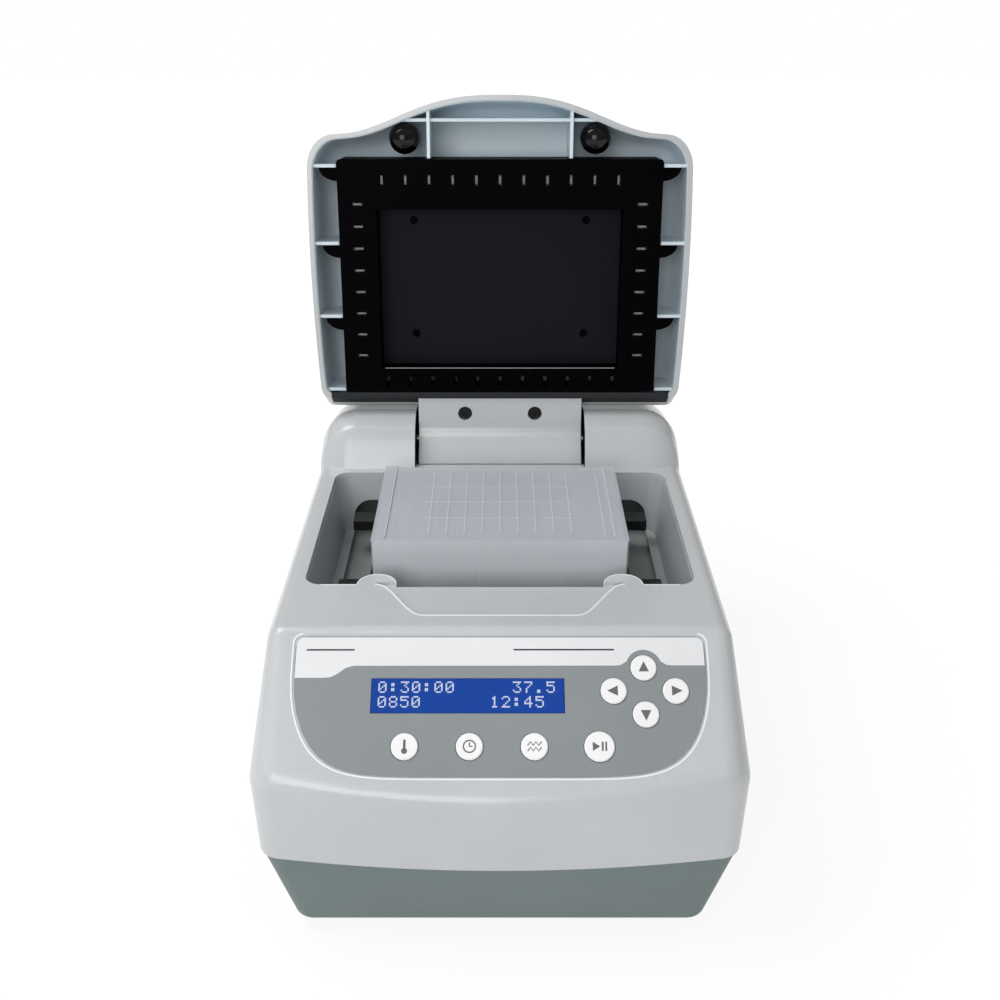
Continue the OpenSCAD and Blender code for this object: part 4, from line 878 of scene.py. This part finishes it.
def rim_at(inset, rear):
    """The rim drawn in by inset, with its rear moved out."""
    return [(x * (1 - inset / (LID_W / 2)),
             y * (1 - inset / RIM_REACH) + rear * (max(0.0, y) / LID_REAR_Y) ** 3)
            for x, y in lid_rim()]


def lid_form(name, inset=0.0, low=0.0):
    """The lid's outer form, or the room inside it when inset, drawn shut; low moves its rim down."""
    full = LID_LEVELS[-1][0]
    rings = []
    for height, draw, rear in curve_through(LID_LEVELS, 4):
        z = height * LID_H / full
        z = -low if height == 0 else z * (LID_H - inset) / LID_H
        rings.append([(x, y, RIM_Z + z) for x, y in rim_at(draw + inset, rear)])
    return loft(name, rings)


def inside_lid(body, gap):
    """Clips a body to the room in the lid, a gap away from its wall."""
    return combine(body, lid_form("clip", LID_WALL + gap), "INTERSECT")


def stem_way(place):
    return prism("stem_way", circle(place, STEM_HOLE_R), RIM_Z - CUT, RIM_Z + LID_H - STEM_ROOF)


def lid_ribs():
    """Corners (low, high) of the ribs in the lid, before they are clipped to its wall."""
    top = RIM_Z + LID_H
    frame_end = -FRAME_FRONT - FRAME_GAP
    ribs = []
    for side in (-1, 1):
        x = side * FRONT_RIB_X
        ribs.append(((x - RIB_HALF, -PAST_LID, RIM_Z + FRONT_RIB_FOOT),
                     (x + RIB_HALF, frame_end, top)))
    y = -BALL_FRONT - BALL_R - RIB_HALF - 0.2
    ribs.append(((-CROSS_RIB_X, y - RIB_HALF, RIM_Z + CROSS_RIB_FOOT), (CROSS_RIB_X, y + RIB_HALF, top)))
    frame_side = FRAME_W / 2 + FRAME_GAP
    low = RIM_Z + SIDE_RIB_FOOT
    for y in SIDE_RIB_ROWS + (LID_REAR_Y - REAR_RIB_IN,):
        ribs.append(((frame_side, y - RIB_HALF, low), (PAST_LID, y + RIB_HALF, top)))
        ribs.append(((-PAST_LID, y - RIB_HALF, low), (-frame_side, y + RIB_HALF, top)))
    return ribs


def make_lid_shell():
    """The lid's wall, and its inner skin with ribs and the bumpers' posts, a lighter copy of the casing's
    grey that paints light into the shaded inside.
    """
    shell = combine(lid_form("lid_shell_skin"), lid_form("lid_room", LID_WALL, CUT), "DIFFERENCE")
    skin = lid_form("lid_inside_lightened", LID_WALL, -SKIN_FOOT)
    combine(skin, lid_form("lid_hollow", LID_WALL + SKIN_T, CUT), "DIFFERENCE")
    for corners in lid_ribs():
        combine(skin, inside_lid(box("rib", *corners), SKIN_GAP), "UNION")
    for side in (-1, 1):
        place = (side * BALL_SPAN / 2, -BALL_FRONT)
        post = prism("post", circle(place, POST_R), BALL_TOP + POST_GAP, RIM_Z + LID_H)
        combine(skin, inside_lid(post, SKIN_GAP), "UNION")
        combine(skin, stem_way(place), "DIFFERENCE")
    shell.data.transform(SWING)
    finish_shell(shell, "lid", "casing_grey", "lid_shell")
    skin.data.transform(SWING)
    finish_shell(skin, "lid", "casing_grey", look=LID_INSIDE_LIT)


def make_slot_backing():
    """Light strips behind the slots of the hot lid's frame, and a painted highlight line along the lower
    edge of its window.
    """
    width = 1.1
    low = RIM_Z + FRAME_T + 0.2
    high = low + 0.4
    front_y = -FRAME_FRONT + FRONT_SLOT_IN + SLOT_L / 2
    side_x = FRAME_W / 2 - SIDE_SLOT_IN
    spots = [(x, front_y, width, SLOT_L - 1.6) for x in row_of(FRONT_SLOTS, FRONT_SLOT_PITCH)]
    for y in row_of(SIDE_SLOTS, SIDE_SLOT_PITCH):
        spots += [(side * side_x, BLOCK_Y - 5 + y, SLOT_L - 1.2, width) for side in (-1, 1)]
    bars = [((x - w / 2, y - d / 2, low), (x + w / 2, y + d / 2, high)) for x, y, w, d in spots]
    strips = plain_boxes("slot_strips", bars)
    strips.data.transform(SWING)
    finish_shell(strips, "lid", "hot_frame_black", look=SLOT_BACKING_AND_HIGHLIGHT)
    # A light line along the window's lower edge that paints the highlight of the plate's edge.
    thick = 0.35
    line = plain_boxes("window_edge_highlight", [((-WINDOW_HALF, WINDOW_REAR_Y - thick, RIM_Z + 0.5 - thick),
                                        (WINDOW_HALF, WINDOW_REAR_Y, RIM_Z + 0.5))])
    line.data.transform(SWING)
    finish_shell(line, "lid", "hot_frame_black", look=SLOT_BACKING_AND_HIGHLIGHT)


def make_lid_fittings():
    """Tabs that hold the black frame to the lid's ribs, and the bosses behind the bumpers, darker grey as
    painted shade.
    """
    inner = FRAME_W / 2 - 0.5
    tabs = []
    for y in SIDE_RIB_ROWS:
        foot = y + 1.0
        outline = [(inner, foot)]
        outline += [(inner + TAB_L * math.cos(math.radians(a)), foot + TAB_W * math.sin(math.radians(a)))
                    for a in range(0, 91, 10)]
        for side in (-1, 1):
            mirrored = [(side * px, py) for px, py in outline]
            tabs.append(prism("tab", mirrored, RIM_Z + TAB_LOW, RIM_Z + TAB_HIGH))
    tabs = joined("frame_tabs", tabs)
    tabs.data.transform(SWING)
    finish_shell(tabs, "lid", "hot_frame_black")
    sleeves = []
    for side in (-1, 1):
        place = (side * BALL_SPAN / 2, -BALL_FRONT)
        sleeve = prism("sleeve", circle(place, SLEEVE_R), BALL_TOP + SLEEVE_GAP, RIM_Z + LID_H)
        combine(sleeve, stem_way(place), "DIFFERENCE")
        sleeves.append(inside_lid(sleeve, SKIN_GAP + SKIN_T))
    sleeves = joined("shaded_bumper_bosses", sleeves)
    sleeves.data.transform(SWING)
    finish_shell(sleeves, "lid", "casing_grey", look=POST_SHADE)


def make_lid_rear_shade():
    """Thin dark strip along the rear of the lid's rim and the foot of its rear wall, which paints the shade
    that falls there.
    """
    thick, under, height = 0.15, 0.06, 6.5
    half = 98.0
    rear_shade_strip = combine(lid_form("lid_rear_shade", -thick, under), lid_form("lid_body"), "DIFFERENCE")
    reach = box("clip", (-half, LID_REAR_Y - 3.0, RIM_Z - CUT), (half, PAST_LID, RIM_Z + height))
    combine(rear_shade_strip, reach, "INTERSECT")
    rear_shade_strip.data.transform(SWING)
    finish_shell(rear_shade_strip, "lid", "hot_frame_black", look=REAR_SHADE_DARK)


def make_deck_highlights():
    """Fine lips along the finger recess and the front of the well, coloured near white as painted
    highlights.
    """
    path = recess_outline(0.5)[:RECESS_STEPS + 1]
    path = [(-x, y) for x, y in path] + path[::-1]
    front = -WELL_FRONT - 0.4
    boss_end = BOSS_SPAN / 2 + BOSS_R
    well_end = WELL_W / 2 - WELL_R
    outlines = [thick_line(path, 0.9)]
    for side in (-1, 1):
        outlines.append(thick_line([(side * boss_end, front), (side * well_end, front)], 0.6))
        start, end = (0, 180) if side > 0 else (180, 0)
        cap = arc((side * BOSS_SPAN / 2, -WELL_FRONT), BOSS_R - 0.3, start, end, 24)
        outlines.append(thick_line(cap, 0.5))
    low, high = DECK_Z - 0.05, DECK_Z + 0.12
    rows = [(turning_left(outline), low, high) for outline in outlines]
    finish_shell(slabs("deck_highlight_beads", rows), "base", "casing_grey", look=EDGE_HIGHLIGHT)


def make_rack():
    """Frosted cover with raised side strips on its top, and ribs behind its front."""
    half_w, half_d = RACK_W / 2, RACK_D / 2
    low, high = BLOCK_Y - half_d, BLOCK_Y + half_d
    cover = prism("rack_skin", rounded((-half_w, low), (half_w, high), RACK_R, 6), RACK_LOW, RACK_FIELD_Z)
    room = rounded((-half_w + RACK_WALL, low + RACK_WALL), (half_w - RACK_WALL, high - RACK_WALL), 1.0, 4)
    combine(cover, prism("rack_room", room, RACK_LOW - CUT, RACK_FIELD_Z - RACK_WALL), "DIFFERENCE")
    flush = 0.01
    root = RACK_FIELD_Z - 0.2
    for side in (-1, 1):
        strip = box("strip", (side * (half_w - RACK_STRIP_W), low + flush, root),
                    (side * (half_w - flush), high - flush, RACK_TOP))
        combine(cover, strip, "UNION")
    lip_x = half_w - RACK_STRIP_W + 0.1
    lip = box("lip", (-lip_x, low + flush, root), (lip_x, low + RACK_LIP_D, RACK_TOP - 0.15))
    combine(cover, lip, "UNION")
    finish_shell(cover, "rack", "rack_frosted", "rack_cover")
    front = low + RACK_WALL + 0.05
    bars = [((x - 0.5, front, RACK_LOW + 0.5), (x + 0.5, front + 1.95, RACK_TOP - 2.2))
            for x in RACK_FRONT_RIBS]
    finish_shell(plain_boxes("rack_ribs", bars), "rack", "rack_frosted")
    make_rack_lines(half_w, low, high)


def make_rack_lines(half_w, low, high):
    """Faint light lines where the cells meet the top and the ribs meet the front, painted highlights along
    the front's upper edge and the strips' inner edges, and a lighter front sheet that paints light onto the
    shaded front.
    """
    top = RACK_FIELD_Z
    # Walls of the cells, along and across.
    bars = [((x - 0.25, low + 9, top), (x + 0.25, high - 7, top + 0.06)) for x in row_of(9, CELL)]
    for y in row_of(3, 2 * CELL):
        bars.append(((-4.4 * CELL, BLOCK_Y + y - 0.2, top), (4.4 * CELL, BLOCK_Y + y + 0.2, top + 0.07)))
    # Ribs behind the front, and a painted highlight along the front's upper edge.
    for x in RACK_FRONT_RIBS:
        bars.append(((x - 0.3, low - 0.06, RACK_LOW + 1), (x + 0.3, low + 0.02, RACK_TOP - 1.2)))
    bars.append(((-half_w + 0.8, low - 0.07, RACK_TOP - 0.75), (half_w - 0.8, low + 0.02, RACK_TOP - 0.15)))
    # Painted highlights along the inner edges of the raised strips, and a line beside the right one.
    for side in (-1, 1):
        x = side * (half_w - RACK_STRIP_W - 0.1)
        bars.append(((x - 0.25, low + 4, top), (x + 0.25, high - 1, top + 0.75)))
    bars.append(((half_w - 11.6, low + 3.5, top), (half_w - 11.1, high - 9, top + 0.08)))
    finish_shell(plain_boxes("rack_lines_and_highlights", bars), "rack", "rack_frosted", look=RACK_LINE_AND_HIGHLIGHT)
    # A lighter sheet behind the front that paints light onto the front, which the well shades.
    sheet = ((-half_w + 1, low - 0.03, RACK_LOW + 0.6), (half_w - 1, low + 0.01, RACK_TOP - 0.8))
    finish_shell(plain_boxes("rack_front_lightened", [sheet]), "rack", "rack_frosted", look=RACK_FRONT_LIT)


def print_on(name, outlines, low, body, material, thick=PRINT_T):
    """Printed shapes as one thin layer on the panel's plane."""
    layer = slabs(name, [(turning_left(outline), low, low + thick) for outline in outlines])
    layer.data.transform(PANEL)
    layer.data.materials.append(material)
    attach(layer, body)


def make_prints():
    """The band and lines of the panel's film, a bright lip round it as a painted highlight, and the
    pictograms on the keys.
    """
    band_material = plastic("band_white", srgb(235, 236, 238), rough=0.32, edge=0.0, bump=0.02)
    line_material = plastic("line_dark", srgb(46, 48, 52), rough=0.35, edge=0.0, bump=0.0)
    icon_material = plastic("icon_grey", srgb(104, 108, 110), rough=0.4, edge=0.0, bump=0.0)
    half = FILM_W / 2 - 0.4
    # Lower edge of the band from the left, as (x, distance down the slope); it rises round the arrow keys.
    wave = curve_through([(-78.5, 23.1), (-75.0, 22.7), (-71.7, 20.9), (-68.5, 18.6), (-65.0, 17.6)], 5)
    hill_x, hill_t = 64.0, 18.2
    hill = [(x, 2 * hill_t - t) for x, t in arc((hill_x, hill_t), 8.0, 160, 20, 18)]
    edge = [(-half, 23.1)] + wave + [(51.6, 17.5), (53.8, 17.2)] + hill
    edge += [(74.2, 17.2), (76.2, 17.4), (half, 17.4)]
    corner = 3.6
    top = -FILM_TOP - 4.0
    band = [(x, -t) for x, t in edge]
    band += arc((half - corner, top), corner, 0, 90, 8) + arc((-half + corner, top), corner, 90, 180, 8)
    print_on("band", [band], FILM_FACE, "base", band_material)
    lines = [rounded((-86.6, -10.6), (-65.0, -9.9), 0.3, 3), rounded((6.0, -10.5), (51.0, -9.8), 0.3, 3)]
    print_on("band_lines", lines, FILM_FACE + PRINT_T, "base", line_material)
    # A bright lip round the film that paints its highlight.
    lip = thick_line(film_outline(1.2), 0.8)
    print_on("film_highlight_lip", [lip], -0.52, "base", EDGE_HIGHLIGHT, 0.12)
    for name, (x, t, _) in KEYS.items():
        print_on(name + "_icon", icon(name, x, -t), KEY_FACE, name + "_body", icon_material)


def open_ring(centre, outer, inner):
    """A ring, cut open at one place so that one outline draws it."""
    turn = 359.0
    return arc(centre, outer, 90, 90 + turn, 32) + arc(centre, inner, 90 + turn, 90, 32)


def icon(name, x, y):
    """Plain pictogram of a key, as outlines round its centre."""
    if name in ARROWS:
        turns = [math.radians(ARROWS[name] + a) for a in (0, 128, 232)]
        return [[(x + ICON_R * math.cos(a), y + ICON_R * math.sin(a)) for a in turns]]
    if name == "key_f1":
        return [circle((x, y - 2.0), 1.3, 20), rounded((x - 0.55, y - 1.2), (x + 0.55, y + 3.0), 0.5, 4)]
    if name == "key_f2":
        return [open_ring((x, y), ICON_R, ICON_R - 0.6),
                thick_line([(x, y), (x, y + 1.8)], 0.5),
                thick_line([(x, y), (x + 1.3, y)], 0.5)]
    if name == "key_f3":
        return [thick_line([(x - 3 + 1.2 * i, y + d + (0.8 if i % 2 else -0.8)) for i in range(6)], 0.55)
                for d in (1.2, -1.2)]
    bars = [rounded((x + start, y - 2), (x + start + 0.8, y + 2), 0.2, 3) for start in (0.9, 2.4)]
    return [[(x - 3.0, y - 2.0), (x + 0.2, y), (x - 3.0, y + 2.0)]] + bars


# Rows of a plain five by seven dot character, from the top; each row is five dots in binary.
DOTS = {
    "0": (14, 17, 19, 21, 25, 17, 14), "1": (4, 12, 4, 4, 4, 4, 14), "2": (14, 17, 1, 2, 4, 8, 31),
    "3": (31, 2, 4, 2, 1, 17, 14), "4": (2, 6, 10, 18, 31, 2, 2), "5": (31, 16, 30, 1, 1, 17, 14),
    "7": (31, 1, 2, 4, 8, 8, 8), "8": (14, 17, 17, 14, 17, 17, 14), ".": (0, 0, 0, 0, 0, 12, 12),
    ":": (0, 12, 12, 0, 12, 12, 0), " ": (0, 0, 0, 0, 0, 0, 0),
}
DISPLAY_ROWS = ("0:30:00     37.5", "0850      12:45")
# First character's left and top from the window's middle, and the pitches of characters, rows and dots.
TEXT_LEFT = 39.5
TEXT_TOP = 6.4
SIGN_PITCH = 4.95
ROW_PITCH = 6.6
DOT_PITCH = 0.74
DOT = 0.66


def make_display():
    """Lit dots of two rows of plain digits under the window's face."""
    n = Nodes(bpy.data.materials.new("display_dots"))
    lit = n.add("ShaderNodeEmission", {"Color": srgb(226, 236, 255), "Strength": 0.85})
    n.link(lit.outputs["Emission"], n.out.inputs["Surface"])
    outlines = []
    for row, text in enumerate(DISPLAY_ROWS):
        for place, sign in enumerate(text):
            left = DISPLAY_X - TEXT_LEFT + place * SIGN_PITCH
            top = -DISPLAY_T + TEXT_TOP - row * ROW_PITCH
            for line, bits in enumerate(DOTS[sign]):
                for column in range(5):
                    if bits & (16 >> column):
                        x = left + column * DOT_PITCH
                        y = top - line * DOT_PITCH
                        outlines.append(rectangle((x, y - DOT), (x + DOT, y)))
    print_on("display_digits", outlines, -0.2, "base", n.owner, 0.03)


def add_stage():
    """Pale floor that reads as white to the camera, with a soft trace of contact shade near the object."""
    far = 3000
    corners = [(-far, -far, 0), (far, -far, 0), (far, far, 0), (-far, far, 0)]
    floor = new_mesh("floor", corners, [(0, 1, 2, 3)])
    n = Nodes(bpy.data.materials.new("floor_paint"))
    matt = n.add("ShaderNodeBsdfDiffuse", {"Color": grey(0.8)})
    glow = n.add("ShaderNodeEmission", {"Color": grey(1.0), "Strength": 1.06})
    path = n.add("ShaderNodeLightPath")
    seen = n.add("ShaderNodeMath", operation="MAXIMUM")
    place = n.add("ShaderNodeTexCoord")
    away = n.add("ShaderNodeVectorMath", operation="LENGTH")
    fade = n.add("ShaderNodeMapRange", {"From Min": 0.2, "From Max": 0.55, "To Min": 0.84, "To Max": 1.0})
    share = n.add("ShaderNodeMath", operation="MULTIPLY")
    mix = n.add("ShaderNodeMixShader")
    n.link(path.outputs["Is Camera Ray"], seen.inputs[0])
    n.link(path.outputs["Is Glossy Ray"], seen.inputs[1])
    n.link(place.outputs["Object"], away.inputs[0])
    n.link(away.outputs["Value"], fade.inputs["Value"])
    n.link(seen.outputs["Value"], share.inputs[0])
    n.link(fade.outputs["Result"], share.inputs[1])
    n.link(share.outputs["Value"], mix.inputs["Fac"])
    n.link(matt.outputs["BSDF"], mix.inputs[1])
    n.link(glow.outputs["Emission"], mix.inputs[2])
    n.link(mix.outputs["Shader"], n.out.inputs["Surface"])
    floor.data.materials.append(n.owner)


def add_world():
    """Even soft light, and plain white behind the object."""
    n = Nodes(bpy.data.worlds.new("studio"), "ShaderNodeOutputWorld")
    room = n.add("ShaderNodeBackground", {"Strength": 0.46})
    back = n.add("ShaderNodeBackground", {"Strength": 1.0, "Color": grey(1.0)})
    place = n.add("ShaderNodeTexCoord")
    split = n.add("ShaderNodeSeparateXYZ")
    ramp = n.add("ShaderNodeValToRGB")
    for stop, (position, value) in zip(ramp.color_ramp.elements, ((0.35, 0.45), (0.85, 1.0))):
        stop.position = position
        stop.color = grey(value)
    height = n.add("ShaderNodeMapRange", {"From Min": -1.0})
    path = n.add("ShaderNodeLightPath")
    mix = n.add("ShaderNodeMixShader")
    n.link(place.outputs["Generated"], split.inputs["Vector"])
    n.link(split.outputs["Z"], height.inputs["Value"])
    n.link(height.outputs["Result"], ramp.inputs["Fac"])
    n.link(ramp.outputs["Color"], room.inputs["Color"])
    n.link(path.outputs["Is Camera Ray"], mix.inputs["Fac"])
    n.link(room.outputs["Background"], mix.inputs[1])
    n.link(back.outputs["Background"], mix.inputs[2])
    n.link(mix.outputs["Shader"], n.out.inputs["Surface"])
    bpy.context.scene.world = n.owner


def add_area(name, place, target, size, power):
    """A soft square lamp aimed at a point, both in metres."""
    data = bpy.data.lights.new(name, "AREA")
    data.shape = "SQUARE"
    data.size = size
    data.energy = power
    lamp = new_object(name, data)
    lamp.location = place
    lamp.rotation_euler = (Vector(target) - Vector(place)).to_track_quat("-Z", "Y").to_euler()


def add_camera():
    data = bpy.data.cameras.new("camera")
    data.sensor_width = SENSOR_MM
    data.sensor_fit = "HORIZONTAL"
    data.lens = FOCAL_PX * SENSOR_MM / PHOTO_PX
    data.clip_start = 0.01
    camera = new_object("camera", data)
    camera.location = (0.0, CAMERA_Y * MM, CAMERA_Z * MM)
    camera.rotation_euler = (math.radians(90.0 - CAMERA_PITCH), 0.0, 0.0)
    bpy.context.scene.camera = camera


make_upper_casing()
make_gap_shade_plates()
make_lower_casing()
make_lid_shell()
make_slot_backing()
make_lid_fittings()
make_lid_rear_shade()
make_deck_highlights()
make_rack()
make_prints()
make_display()

add_stage()
add_world()
add_area("top_light", (-0.7, 0.1, 1.3), (0.0, 0.0, 0.1), 0.7, 8.5)
add_area("front_light", (-0.45, -1.55, 0.75), (0.0, 0.0, 0.17), 1.0, 11.0)
add_camera()
bpy.context.scene.view_settings.view_transform = "Standard"

for node in frame["nodes"].values():
    smooth(node)
